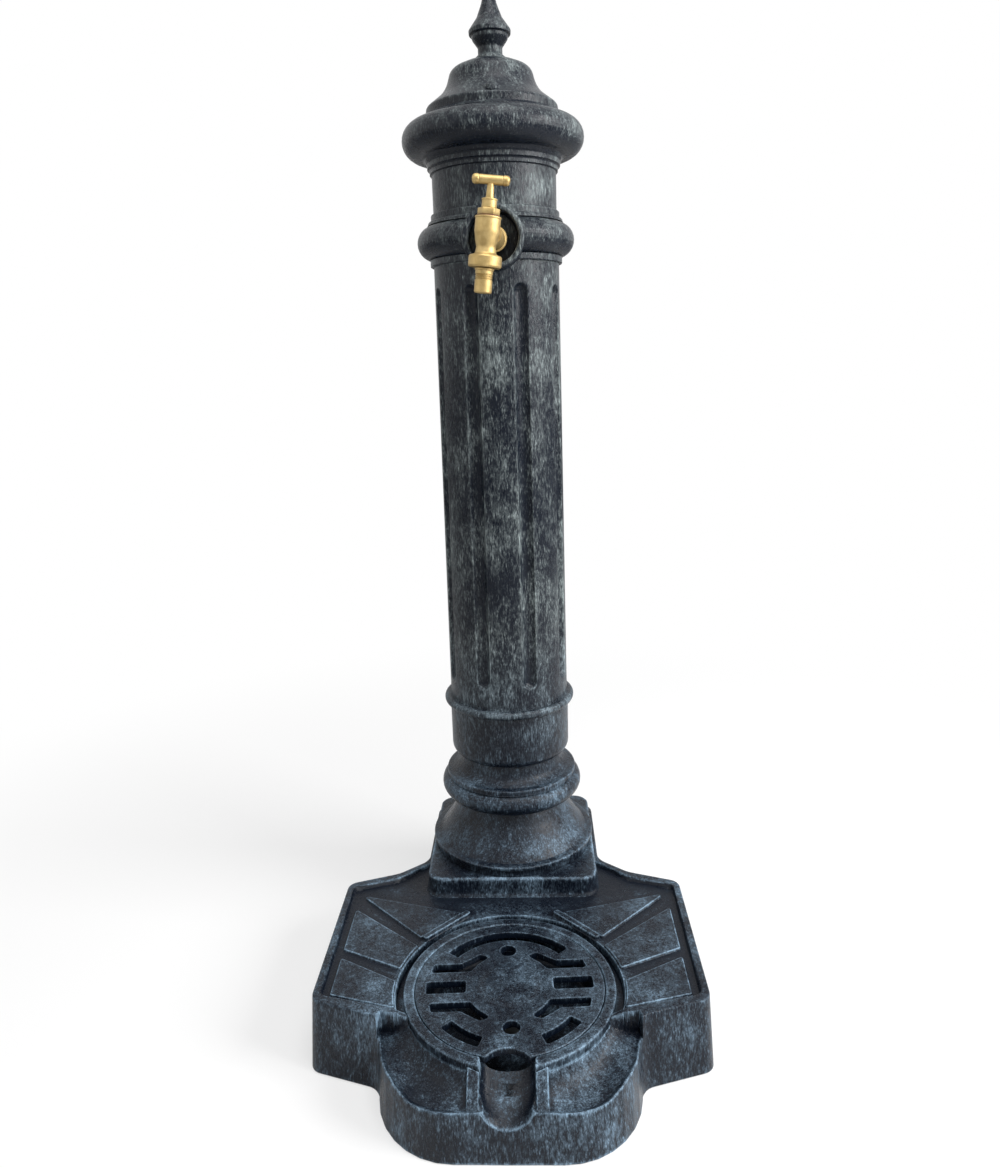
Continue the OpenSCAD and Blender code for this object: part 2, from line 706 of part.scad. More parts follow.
module finial() color(iron) at_column() turned([
    [rod_r + screw_gap, finial_z, 0],
    [finial_neck_r + 4, finial_z, 1],
    [finial_neck_r + 3, finial_z + 3, 2],
    [finial_neck_r - 0.5, finial_z + 6, 3],
    [finial_neck_r - 0.5, finial_z + 13, 4],
    [finial_r - 3, finial_z + 21, 5],
    [finial_r - 2.5, finial_z + 24.5, 0.8],
    [finial_r, finial_z + 25, 1],
    [finial_r + 0.4, finial_z + 29, 2.5],
    [finial_neck_r, finial_z + 41, 8],
    [7.4, finial_z + 56, 30],
    [4.5, finial_z + finial_h, 3.8],
    [0, finial_z + finial_h, 0],
    [0, finial_z + rod_grip + 1, 0],
    [rod_r + screw_gap, finial_z + rod_grip + 1, 0]]);

module finial_washer() color(rubber) at_column(finial_z - washer_t)
    ring(finial_neck_r + 3, rod_r + screw_gap, washer_t);

module tie_rod() color(steel) at_column(rod_foot) cylinder(r = rod_r, h = rod_top - rod_foot);

module anchor_bar() color(steel) at_column(bar_top - bar_t) difference() {
    translate([-bar_l / 2, -bar_w / 2, 0]) cube([bar_l, bar_w, bar_t]);
    translate([0, 0, -past]) cylinder(r = rod_r + screw_gap, h = bar_t + 2 * past);
}

module rod_washer() color(steel) at_column(bar_top - bar_t - washer_t)
    ring(2.2 * rod_r, rod_r + screw_gap, washer_t);

module rod_nut() color(steel) at_column(bar_top - bar_t - washer_t - rod_nut_h)
    six_sided(1.9 * rod_r, rod_r + screw_gap, rod_nut_h);

module at_riser(z = 0) translate([tap_shift, column_y - riser_y, z]) children();

module riser_pipe() color(steel) at_riser(riser_foot)
    ring(riser_r, riser_r - riser_wall, elbow_foot + riser_grip - riser_foot);

module inlet_socket() color(brass) at_riser(inlet_z) difference() {
    cylinder(r = riser_r + 4, h = socket_l);
    translate([0, 0, socket_l - 16]) cylinder(r = riser_r + screw_gap, h = 16 + past);
    translate([0, 0, -past]) cylinder(r = inlet_r, h = socket_l);
}

// Clips that hold the riser to the tie rod, spread along the shaft
module pipe_clips() color(rubber) for (i = [1:clip_count])
    at_column(shaft_z + shaft_h * i / (clip_count + 1)) linear_extrude(clip_t) difference() {
        union() {
            circle(r = rod_r + 5);
            translate([tap_shift, -riser_y]) circle(r = riser_r + 4);
            translate([tap_shift / 2 - rod_r, -riser_y]) square([2 * rod_r, riser_y]);
        }
        circle(r = rod_r + screw_gap);
        translate([tap_shift, -riser_y]) circle(r = riser_r + screw_gap);
    }

module riser_nut() color(brass) at_riser(elbow_foot - 10) six_sided(elbow_r + 2, riser_r + screw_gap, 10);

module tap_elbow() color(brass) at_riser(tap_z) difference() {
    union() {
        sphere(r = elbow_r);
        translate([0, 0, elbow_foot - tap_z]) cylinder(r = elbow_r, h = tap_z - elbow_foot);
        towards_front() cylinder(r = elbow_r, h = boss_pad - riser_y);
        towards_front() cylinder(r = nose_out_r, h = nose_end - riser_y);
    }
    sphere(r = way_r + 1);
    translate([0, 0, elbow_foot - tap_z - past]) cylinder(r = way_r + 1, h = tap_z - elbow_foot + past);
    translate([0, 0, elbow_foot - tap_z - past]) cylinder(r = riser_r + screw_gap, h = riser_grip + past);
    towards_front() cylinder(r = way_r + 1, h = nose_end);
    towards_front() translate([0, 0, nose_end - riser_y - shank_l - 2])
        cylinder(r = shank_r + screw_gap, h = shank_l + 2 + past);
}

// Ring nut with notches for a hook spanner
module elbow_locknut() color(brass) translate([tap_shift, column_y - boss_back, tap_z]) towards_front()
    difference() {
        nut_h = nose_end - boss_back - 3;
        ring(locknut_r, nose_out_r + screw_gap, nut_h);
        for (i = [0:3]) rotate(45 + i * 90) translate([locknut_r - notch_d, -notch_w / 2, -past])
            cube([2 * notch_d, notch_w, nut_h + 2 * past]);
    }

module inlet_washer() color(fibre) translate([tap_shift, column_y - nose_end, tap_z]) towards_front()
    ring(nose_out_r, shank_r + screw_gap, washer_gap);

module tap_body() color(brass) at_tap() difference() {
    union() {
        turned([
            [0, -body_down, 0],
            [outlet_r, -body_down, 0.6],
            [outlet_r, union_z, 0],
            [body_r - 1.9, union_z + 1.5, 1],
            [body_r - 2.8, union_z + 7, 6],
            [body_r + 0.2, -1, 10],
            [body_r, body_up - 2, 0],
            [body_r + 0.5, body_up - 1.5, 0.4],
            [body_r + 0.5, body_up, 0.4],
            [0, body_up, 0]]);
        towards_back() {
            cylinder(r1 = body_r - 3.5, r2 = flange_r - 2, h = flange_y - flange_t);
            translate([0, 0, flange_y - flange_t]) cylinder(r = flange_r, h = flange_t);
            cylinder(r = shank_r, h = flange_y + shank_l);
        }
    }
    translate([0, 0, seat_h]) cylinder(r = chamber_r, h = body_up - seat_h + past);
    translate([0, 0, -body_down - past]) cylinder(r = way_r, h = body_down + past);
    towards_back() cylinder(r = way_r, h = flange_y + shank_l + past);
}

module bonnet_washer() color(fibre) at_tap(body_up) ring(body_r - 1, chamber_r, bonnet_z - body_up);

module bonnet() color(brass) at_tap() difference() {
    union() {
        translate([0, 0, 5]) cylinder(r = chamber_r - screw_gap, h = bonnet_z - 5 + past);
        translate([0, 0, bonnet_z]) cylinder(r = body_r - 1.6, h = bonnet_h, $fn = 6);
        translate([0, 0, bonnet_z]) cylinder(r = gland_r - 1.6, h = bonnet_h + gland_h - 4);
    }
    cylinder(r = screw_r + screw_gap, h = screw_top + valve_lift + 1);
    cylinder(r = stem_r + screw_gap, h = gland_top + past);
}

module gland_packing() color(fibre) at_tap(gland_top - 4) ring(gland_r - 1.7, stem_r + screw_gap, 2);

module gland_nut() color(brass) at_tap(neck_z) difference() {
    cylinder(r = gland_r, h = gland_h);
    translate([0, 0, -past]) cylinder(r = gland_r - 1.6 + screw_gap, h = gland_h - 2 + past);
    cylinder(r = stem_r + screw_gap, h = gland_h + past);
}

module union_nut() color(brass) at_tap(union_z - union_h) difference() {
    turned([
        [0, 0, 0], [union_r - 1, 0, 0], [union_r, 1.5, 0.8],
        [union_r, union_h - 1.5, 0.8], [union_r - 1, union_h, 0], [0, union_h, 0]]);
    translate([0, 0, 2]) cylinder(r = outlet_r + screw_gap, h = union_h);
    translate([0, 0, -past]) cylinder(r = tail_r + screw_gap, h = union_h);
}

module hose_washer() color(rubber) at_tap(union_z - union_h + 2 + tail_flange)
    ring(outlet_r - 0.3, way_r, union_h - 2 - tail_flange - (union_z + body_down));

module hose_tail() color(brass) at_tap(union_z - union_h + 2) difference() {
    turned([
        [0, tail_flange, 0],
        [outlet_r - 0.3, tail_flange, 0],
        [outlet_r - 0.3, 0, 0],
        [tail_r, 0, 0],
        [tail_r, -6, 0],
        for (i = [0:2]) each [[tail_r - 0.9, -6.5 - 2 * i, 0], [tail_r, -8 - 2 * i, 0]],
        [tail_r, -tail_l - 1, 0],
        [tail_r - 0.8, -tail_l - 2, 0],
        [0, -tail_l - 2, 0]]);
    translate([0, 0, -tail_l - 2 - past]) cylinder(r = way_r, h = tail_l + 2 * tail_flange + 2 * past);
}

module jumper_valve() color(brass) at_tap() {
    translate([0, 0, valve_foot - valve_nut_h - 0.6])
        cylinder(r = stud_r, h = valve_nut_h + valve_t + 0.6 + past);
    translate([0, 0, valve_foot + valve_t]) cylinder(r = washer_r, h = plate_t);
    translate([0, 0, valve_foot + valve_t]) cylinder(r = jumper_r, h = plate_t + jumper_l);
}

module valve_washer() color(rubber) at_tap(valve_foot) ring(washer_r - 0.2, stud_r + screw_gap, valve_t);

module valve_nut() color(brass) at_tap(valve_foot - valve_nut_h)
    six_sided(way_r - 1.6, stud_r + screw_gap, valve_nut_h);

module spindle() color(brass) at_tap() difference() {
    union() {
        translate([0, 0, screw_foot]) cylinder(r = screw_r, h = screw_top - screw_foot);
        translate([0, 0, screw_foot]) cylinder(r = stem_r, h = gland_top + 2 - screw_foot);
        translate([0, 0, gland_top + 2]) cylinder(r1 = stem_r, r2 = stem_r - 0.9, h = stem_l - 2);
        translate([0, 0, gland_top]) cylinder(r = peg_r, h = tee_z + 1 - gland_top);
    }
    translate([0, 0, screw_foot - past]) cylinder(r = jumper_r + screw_gap, h = jumper_l + 1 + past);
}

module tee_handle() color(brass) at_tap(tee_z) difference() {
    rotate([0, 90, 0]) turned([
        [0, -tee_l / 2, 0],
        [tee_r, -tee_l / 2, tee_r * 0.8],
        [tee_r, 6 - tee_l / 2, 0.5],
        [tee_r - 0.6, 6.6 - tee_l / 2, 0.3],
        [tee_r - 0.3, 8 - tee_l / 2, 0],
        [tee_r - 0.3, tee_l / 2 - 8, 0],
        [tee_r - 0.6, tee_l / 2 - 6.6, 0.3],
        [tee_r, tee_l / 2 - 6, 0.5],
        [tee_r, tee_l / 2, tee_r * 0.8],
        [0, tee_l / 2, 0]]);
    translate([0, 0, -2 * tee_r]) cylinder(r = peg_r + screw_gap, h = 2 * tee_r + 1.5);
}

base_casting();
sump_bowl();
waste_body();
waste_gasket();
waste_nut();
waste_strainer();
drain_grate();
pedestal();
fluted_shaft();
head_casting();
dome_lid();
finial();
finial_washer();
tie_rod();
anchor_bar();
rod_washer();
rod_nut();
riser_pipe();
inlet_socket();
pipe_clips();
riser_nut();
tap_elbow();
elbow_locknut();
inlet_washer();
tap_body();
bonnet_washer();
bonnet();
gland_packing();
gland_nut();
union_nut();
hose_washer();
hose_tail();
jumper_valve();
valve_washer();
valve_nut();
spindle();
tee_handle();
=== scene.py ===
"""Garden standpipe: the finished surfaces of its painted castings, its drain grate and its brass tap."""
import json
import math

import bmesh
import bpy
import numpy as np
from mathutils import Matrix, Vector
from mathutils.geometry import delaunay_2d_cdt


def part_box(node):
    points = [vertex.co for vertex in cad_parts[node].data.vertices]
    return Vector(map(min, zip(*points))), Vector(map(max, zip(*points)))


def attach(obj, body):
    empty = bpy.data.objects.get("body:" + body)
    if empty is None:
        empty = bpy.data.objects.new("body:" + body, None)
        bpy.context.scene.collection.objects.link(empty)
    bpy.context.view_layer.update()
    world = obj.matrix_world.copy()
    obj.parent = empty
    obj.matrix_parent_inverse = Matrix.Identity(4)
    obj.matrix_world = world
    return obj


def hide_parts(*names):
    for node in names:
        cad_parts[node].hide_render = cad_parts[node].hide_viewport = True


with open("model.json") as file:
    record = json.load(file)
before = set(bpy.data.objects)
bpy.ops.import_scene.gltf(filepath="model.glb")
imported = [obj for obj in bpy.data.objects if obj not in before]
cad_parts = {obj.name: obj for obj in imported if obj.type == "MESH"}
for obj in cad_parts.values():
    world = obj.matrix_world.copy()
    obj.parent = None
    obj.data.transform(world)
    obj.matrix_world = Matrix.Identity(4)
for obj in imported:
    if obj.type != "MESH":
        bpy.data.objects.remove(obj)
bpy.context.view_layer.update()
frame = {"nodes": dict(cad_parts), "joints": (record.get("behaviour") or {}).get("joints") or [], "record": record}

MM = 0.001
TURN = 2 * math.pi
SHARP_ANGLE = math.radians(40)


def span(node):
    """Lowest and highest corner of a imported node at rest, in millimetres."""
    lo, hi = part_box(node)
    return np.array(lo) / MM, np.array(hi) / MM


# Levels and centres in millimetres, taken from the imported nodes
BELL_LO, BELL_HI = span("pedestal")
BOWL_LO, BOWL_HI = span("sump_bowl")
GRATE_LO, GRATE_HI = span("drain_grate")
FINIAL_LO, FINIAL_HI = span("finial")
COLUMN = (BELL_LO[:2] + BELL_HI[:2]) / 2
PLINTH_Z = BELL_LO[2]
SHAFT_Z = BELL_HI[2]
LID_Z = span("head_casting")[1][2]
HEAD_H = 146  # from the shaft's top to the lid
HEAD_Z = LID_Z - HEAD_H
FINIAL_Z = FINIAL_LO[2]
RING_R = (BOWL_HI[0] - BOWL_LO[0]) / 2
RING_Z = BOWL_HI[2]
DRAIN = np.array([0, BOWL_HI[1] - RING_R])
TO_DRAIN = COLUMN[1] - DRAIN[1]
HINGE = next(j for j in frame["joints"] if j["name"] == "handle_turn")
TAP = np.array(HINGE["pos_m"]) / MM
TAP_UP = np.array(HINGE["axis"])


# Lines and grids
def smooth(x):
    """The S curve 3x^2 - 2x^3, held at 0 before 0 and at 1 after 1."""
    x = np.clip(x, 0, 1)
    return x * x * (3 - 2 * x)


def blend(distance, width):
    """S curve from 0 to 1 over a width that is centred on distance 0."""
    return smooth(distance / width + 0.5)


def ring(radius, count):
    """Points at equal angles round a circle about the origin."""
    angle = np.arange(count) / count * TURN
    return radius * np.stack([np.cos(angle), np.sin(angle)], 1)


def rounded(corners, closed=True, steps=8):
    """Line through corners (x, y, radius), each turned by an arc that touches both of its sides."""
    c = np.array(corners, float)
    p, r = c[:, :2], c[:, 2].copy()
    if not closed:
        r[[0, -1]] = 0
    a = np.roll(p, 1, 0) - p
    b = np.roll(p, -1, 0) - p
    la, lb = np.linalg.norm(a, axis=1), np.linalg.norm(b, axis=1)
    a, b = a / la[:, None], b / lb[:, None]
    half = np.arccos(np.clip((a * b).sum(1), -1, 1)) / 2
    reach = np.where(half < 1.56, r / np.tan(half), 0)
    mid = a + b
    mid /= np.maximum(np.linalg.norm(mid, axis=1), 1e-9)[:, None]
    centre = p + mid * (r / np.sin(half))[:, None]
    u = p + a * reach[:, None] - centre
    v = p + b * reach[:, None] - centre
    arc = np.maximum(math.pi - 2 * half, 1e-6)[:, None]
    s = np.linspace(0, 1, steps)[None, :]
    wu, wv = np.sin((1 - s) * arc) / np.sin(arc), np.sin(s * arc) / np.sin(arc)
    line = centre[:, None] + wu[..., None] * u[:, None] + wv[..., None] * v[:, None]
    line = np.where((reach > 0)[:, None, None], line, p[:, None])
    line = line.reshape(-1, 2)
    gap = np.linalg.norm(line - np.roll(line, 1, 0), axis=1)
    keep = gap > 1e-4
    if not closed:
        keep[0] = True
    return line[keep]


def divided(line, step, closed=False):
    """The same line with each of its sides cut into equal parts no longer than the step."""
    ends = np.roll(line, -1, 0) if closed else line[1:]
    starts = line if closed else line[:-1]
    parts = np.ceil(np.linalg.norm(ends - starts, axis=1) / step).astype(int).clip(1)
    cut = [a + (b - a) * (np.arange(n) / n)[:, None] for a, b, n in zip(starts, ends, parts)]
    return np.concatenate(cut + ([] if closed else [line[-1:]]))


def spread(line, weight):
    """Closed line set out again in points whose spacing in millimetres is the weight at that place."""
    fine = divided(line, 0.5, True)
    side = np.linalg.norm(np.roll(fine, -1, 0) - fine, axis=1)
    load = np.concatenate([[0], np.cumsum(side / weight(fine))])
    count = int(load[-1])
    at = np.linspace(0, load[-1], count, endpoint=False)
    loop = np.vstack([fine, fine[:1]])
    return np.stack([np.interp(at, load, loop[:, i]) for i in range(2)], 1)


def inside_by(points, polygon):
    """Distance from each point to a closed polygon's nearest side, positive inside it."""
    x, y = points[..., 0], points[..., 1]
    best = np.full(x.shape, 1e9)
    within = np.zeros(x.shape, bool)
    for (ax, ay), (bx, by) in zip(polygon, np.roll(polygon, -1, 0)):
        dx, dy = bx - ax, by - ay
        t = np.clip(((x - ax) * dx + (y - ay) * dy) / max(dx * dx + dy * dy, 1e-12), 0, 1)
        best = np.minimum(best, (x - ax - t * dx) ** 2 + (y - ay - t * dy) ** 2)
        if dy:
            within ^= ((ay > y) != (by > y)) & (x < ax + (y - ay) / dy * dx)
    return np.where(within, 1, -1) * np.sqrt(best)


def inside_box(points, low, high):
    """Least distance from each point to the sides of an upright box in plan, positive inside it."""
    return np.minimum(points - low, high - points).min(-1)


def beside(grid, n, axis, wrap):
    """Each grid point's neighbour n places along an axis, round the seam or held at the end."""
    if wrap:
        return np.roll(grid, -n, axis)
    size = grid.shape[axis]
    return np.take(grid, np.clip(np.arange(size) + n, 0, size - 1), axis)


def volume_sign(verts, faces):
    """Sign of the volume that the faces enclose, from the sum of their cone volumes."""
    a, b, c, d = (verts[faces[:, i]] for i in range(4))
    total = (a * np.cross(b, c)).sum() + (a * np.cross(c, d)).sum()
    return 1 if total >= 0 else -1


def blurred(grid, wrap, reach, passes, axes=(0, 1)):
    """Grid after passes that draw each point to its neighbours, less to those beyond the reach."""
    soft = grid
    pull = {}
    for axis in axes:
        gap = np.linalg.norm(beside(grid, 1, axis, wrap[axis]) - grid, axis=-1, keepdims=True)
        pull[axis] = 0.25 * np.minimum(1, (reach / np.maximum(gap, 1e-6)) ** 2)
    for _ in range(passes):
        for axis in axes:
            ahead, w = beside(soft, 1, axis, wrap[axis]), pull[axis]
            behind, v = beside(soft, -1, axis, wrap[axis]), beside(w, -1, axis, wrap[axis])
            soft = soft + w * (ahead - soft) + v * (behind - soft)
    return soft


# Parts: each is its points, its faces and two figures a point, which the paint reads as edge and hollow
def sheet(grid, wrap=(False, True), axes=(0, 1)):
    """Faces of a grid of points, with the millimetres that each point stands out of its blurred surface.

    The first figure is out of a close blur, for edges, and the second out of a wide one, for hollows.
    """
    rows, cols = grid.shape[:2]
    index = np.arange(rows * cols).reshape(rows, cols)
    here = index if wrap[0] else index[:-1]
    above = np.roll(index, -1, 0) if wrap[0] else index[1:]
    quads = np.stack([here, np.roll(here, -1, 1), np.roll(above, -1, 1), above], -1).reshape(-1, 4)
    verts = grid.reshape(-1, 3)
    sign = volume_sign(verts - verts.mean(0), quads)
    if sign < 0:
        quads = quads[:, ::-1]
    close = blurred(grid, wrap, 0.9, 16, axes)
    wide = blurred(close, wrap, 2.6, 60, axes)
    along = beside(close, 1, 0, wrap[0]) - beside(close, -1, 0, wrap[0])
    across = beside(close, 1, 1, wrap[1]) - beside(close, -1, 1, wrap[1])
    normal = sign * np.cross(across, along)
    normal /= np.maximum(np.linalg.norm(normal, axis=-1, keepdims=True), 1e-9)
    stand = [((grid - soft) * normal).sum(-1).reshape(-1) for soft in (close, wide)]
    return verts, quads, np.stack(stand, 1)


def swept(profile, centre, columns):
    """Grid of a profile of radius and height carried round an upright axis."""
    angle = np.arange(columns) / columns * TURN
    r, z = profile[:, 0, None], profile[:, 1, None]
    return np.stack([centre[0] + r * np.cos(angle), centre[1] + r * np.sin(angle), z + 0 * angle], -1)


def turned(profile, centre=COLUMN, columns=192, wrap=False):
    """Profile of radius and height carried round an upright axis, open or closed on itself."""
    return sheet(swept(profile, centre, columns), (wrap, True), (0,))


def outward(line):
    """Unit normals of a closed line that runs anticlockwise, pointing out of it."""
    along = np.roll(line, -1, 0) - np.roll(line, 1, 0)
    along /= np.maximum(np.linalg.norm(along, axis=1), 1e-9)[:, None]
    return np.stack([along[:, 1], -along[:, 0]], 1)


def carried(outline, rings, stand, ends=True):
    """Rings of inset and height round a closed outline, with flat ends and a given stand for each ring."""
    normal = outward(outline)
    count = len(outline)
    verts = np.concatenate([
        np.column_stack([outline - normal * inset, np.full(count, z)]) for inset, z in rings])
    index = np.arange(len(rings) * count).reshape(len(rings), count)
    quads = np.stack([index[:-1], np.roll(index[:-1], -1, 1), np.roll(index[1:], -1, 1), index[1:]], -1)
    faces = quads.reshape(-1, 4).tolist()
    if ends:
        faces += [index[0][::-1].tolist(), index[-1].tolist()]
    lift = np.repeat(np.array(stand, float), count)
    return verts, faces, np.stack([lift, lift], 1)


def filled(rings, z, down=False):
    """Flat triangles between an outer ring and the holes in it, facing up or down."""
    edges, first = [], 0
    for line in rings:
        here = first + np.arange(len(line))
        edges += np.stack([here, np.roll(here, -1)], 1).tolist()
        first += len(line)
    found = delaunay_2d_cdt(np.concatenate(rings).tolist(), edges, [], 0, 1e-6)
    xy, faces = np.array(found[0]), np.array(found[2])
    middle = xy[faces].mean(1)
    solid = inside_by(middle, rings[0]) > 0
    for hole in rings[1:]:
        solid &= inside_by(middle, hole) < 0
    faces = faces[solid]
    u, v = xy[faces[:, 1]] - xy[faces[:, 0]], xy[faces[:, 2]] - xy[faces[:, 0]]
    wrong = (u[:, 0] * v[:, 1] - u[:, 1] * v[:, 0] < 0) != down
    faces[wrong] = faces[wrong][:, ::-1]
    return np.column_stack([xy, np.full(len(xy), z)]), faces, np.zeros((len(xy), 2))


def moved(part, turn, origin):
    """A part whose local axes become the columns of a turn, set at an origin."""
    verts, faces, stand = part
    return verts @ np.array(turn, float).T + origin, faces, stand


def piece(name, parts, body, slot, nodes=()):
    """One mesh from its parts, with poles and seams merged, riding on its body in place of its nodes."""
    verts = np.concatenate([p[0] for p in parts]) * MM
    faces, first = [], 0
    for points, polygons, _ in parts:
        corners = polygons.tolist() if isinstance(polygons, np.ndarray) else polygons
        faces += [[first + i for i in face] for face in corners]
        first += len(points)
    mesh = bpy.data.meshes.new(name)
    mesh.from_pydata(verts, [], faces)

    def note(label, values):
        values = np.ascontiguousarray(values, np.float32)
        mesh.attributes.new(label, "FLOAT", "POINT").data.foreach_set("value", values)
    stand = np.concatenate([p[2] for p in parts])
    note("edge", stand[:, 0])
    note("hollow", stand[:, 1])
    joined = bmesh.new()
    joined.from_mesh(mesh)
    bmesh.ops.remove_doubles(joined, verts=joined.verts, dist=2e-6)
    joined.to_mesh(mesh)
    joined.free()
    normals = np.empty(3 * len(mesh.vertices), np.float32)
    mesh.vertex_normals.foreach_get("vector", normals)
    note("rise", normals[2::3])
    mesh.shade_smooth()
    mesh.set_sharp_from_angle(angle=SHARP_ANGLE)
    made = bpy.data.objects.new(name, mesh)
    bpy.context.collection.objects.link(made)
    mesh.materials.append(FINISH[slot])
    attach(made, body)
    if nodes:
        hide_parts(*nodes)


# Finishes
class Wire:
    """One output of a material's nodes, used like a number."""

    def __init__(self, tree, out):
        self.tree, self.out = tree, out

    def node(self, kind, settings=None, out=0, **sockets):
        """Adds a node of any kind: its settings, then values or links for its sockets by name or number."""
        made = self.tree.nodes.new(kind)
        for key, value in (settings or {}).items():
            setattr(made, key, value)
        for key, value in sockets.items():
            numbered = key.startswith("in") and key[2:].isdigit()
            socket = made.inputs[int(key[2:]) if numbered else key.replace("_", " ")]
            if isinstance(value, Wire):
                self.tree.links.new(value.out, socket)
            else:
                socket.default_value = value
        return Wire(self.tree, made.outputs[out])

    def sum(self, operation, a, b):
        """A Math node on two values."""
        return self.node("ShaderNodeMath", {"operation": operation}, in0=a, in1=b)

    def __add__(self, other):
        return self.sum("ADD", self, other)

    def __sub__(self, other):
        return self.sum("SUBTRACT", self, other)

    def __rsub__(self, other):
        return self.sum("SUBTRACT", other, self)

    def __mul__(self, other):
        return self.sum("MULTIPLY", self, other)

    __radd__, __rmul__ = __add__, __mul__

    def step(self, low, high):
        """0 below low, 1 above high and an S curve between."""
        return self.node("ShaderNodeMapRange", {"interpolation_type": "SMOOTHSTEP"},
                         Value=self, From_Min=low, From_Max=high)

    def ramp(self, low, high):
        """0 at low and 1 at high in a straight line, held at both ends."""
        return self.node("ShaderNodeMapRange", Value=self, From_Min=low, From_Max=high)

    def noise(self, scale, detail=2.0, rough=0.5, squeeze=(1, 1, 1)):
        """Cloud noise on the object's own coordinates, squeezed along its axes."""
        place = self.node("ShaderNodeMapping", Vector=self, Scale=squeeze)
        return self.node("ShaderNodeTexNoise", Vector=place, Scale=scale, Detail=detail, Roughness=rough)

    def figure(self, label):
        """One of the figures that a piece keeps at its points."""
        return self.node("ShaderNodeAttribute", {"attribute_name": label}, out=2)

    def tint(self, dark, light):
        """Mix of two colours by this value."""
        return self.node("ShaderNodeMix", {"data_type": "RGBA"}, out=2,
                         Factor=self, in6=dark if isinstance(dark, Wire) else (*dark, 1),
                         in7=light if isinstance(light, Wire) else (*light, 1))


def finish(name, metallic=0.0):
    """A new material, its object coordinates and a function that links wires to its surface shader."""
    made = bpy.data.materials.new(name)
    made.use_nodes = True
    tree = made.node_tree
    shader = tree.nodes["Principled BSDF"]
    shader.inputs["Metallic"].default_value = metallic
    place = Wire(tree, None).node("ShaderNodeTexCoord", out=3)

    def put(**sockets):
        for key, wire in sockets.items():
            tree.links.new(wire.out, shader.inputs[key.replace("_", " ")])
    return made, place, put


def painted_iron():
    """Blue-black paint with a silvery dry-brush coat that catches on raised edges and misses the hollows.

    The hollows and the faces turned down are also darkened further, as painted shade. The coat is bluer on the
    tray than on the column.
    """
    made, place, put = finish("painted_iron")
    hair = place.noise(950, 2, 0.7, (1, 1, 0.2)).ramp(0.5, 0.72)
    stroke = place.noise(560, 4, 0.7, (1, 1, 0.25))
    grain = place.noise(230, 5, 0.72, (1, 1, 0.4))
    patch = place.noise(34, 5, 0.62, (1, 1, 0.5))
    broad = place.noise(11, 2, 0.5)
    line = place.figure("edge").step(0.08, 0.8)
    # deep and under thin the coat: painted shade in the hollows and under overhangs, added to the coat that the
    # dry-brush misses there
    deep = (place.figure("hollow") * -1).step(0.15, 2.4)
    under = (place.figure("rise") * -1).step(0.05, 0.8)
    cover = stroke * 0.5 + grain * 0.5 + (patch - 0.5) * 0.4 + (broad - 0.5) * 0.3 + line * 0.17 \
        - deep * 0.15 - under * 0.13
    brush = (cover + hair * 0.14).ramp(0.44, 0.80)
    above = place.node("ShaderNodeSeparateXYZ", out=2, Vector=place).ramp(0.2, 0.4)
    silver = above.tint((0.23, 0.34, 0.45), (0.33, 0.385, 0.385))
    colour = (brush * brush).tint((0.003, 0.0055, 0.011), silver)
    height = grain * 0.3 + stroke * 0.4 + hair * 0.3
    bump = place.node("ShaderNodeBump", Strength=0.9, Distance=0.0008, Height=height)
    put(Base_Color=colour, Roughness=brush * 0.3 + (0.22 + 0.12 * patch), Normal=bump)
    made.node_tree.nodes["Principled BSDF"].inputs["Specular IOR Level"].default_value = 0.2
    return made


def brass():
    """Satin gold brass with a fine grain and duller patches."""
    made, place, put = finish("brass", metallic=1.0)
    fine = place.noise(1100, 3, 0.6)
    patch = place.noise(150, 3, 0.5)
    colour = (patch * 0.7 + fine * 0.3).step(0.3, 0.75).tint((0.37, 0.26, 0.105), (0.52, 0.39, 0.18))
    bump = place.node("ShaderNodeBump", Strength=0.15, Distance=0.0003, Height=fine)
    put(Base_Color=colour, Roughness=patch * 0.2 + 0.42, Normal=bump)
    return made


def steel():
    """Zinc-coated steel with soft spangle."""
    made, place, put = finish("steel", metallic=1.0)
    patch = place.noise(160, 3, 0.6)
    put(Base_Color=patch.tint((0.42, 0.44, 0.46), (0.62, 0.63, 0.64)), Roughness=patch * 0.25 + 0.28)
    return made


def rubber():
    """Black rubber with a dusty bloom."""
    made, place, put = finish("rubber")
    patch = place.noise(240, 4, 0.6)
    put(Base_Color=patch.tint((0.012, 0.012, 0.012), (0.035, 0.034, 0.033)), Roughness=patch * 0.2 + 0.6)
    return made


def fibre():
    """Pressed red fibre with short pale flecks."""
    made, place, put = finish("fibre")
    fleck = place.noise(1400, 3, 0.6, (1, 1, 0.3)).step(0.5, 0.7)
    put(Base_Color=fleck.tint((0.10, 0.03, 0.02), (0.19, 0.075, 0.05)), Roughness=fleck * 0.1 + 0.7)
    return made


FINISH = {"painted_iron": painted_iron(), "brass": brass(), "steel": steel(), "rubber": rubber(),
          "fibre": fibre()}
for part in frame["record"]["subparts"]:
    shown = frame["nodes"][part["node"]]
    shown.data.materials.clear()
    shown.data.materials.append(FINISH[part["material_slot"]])


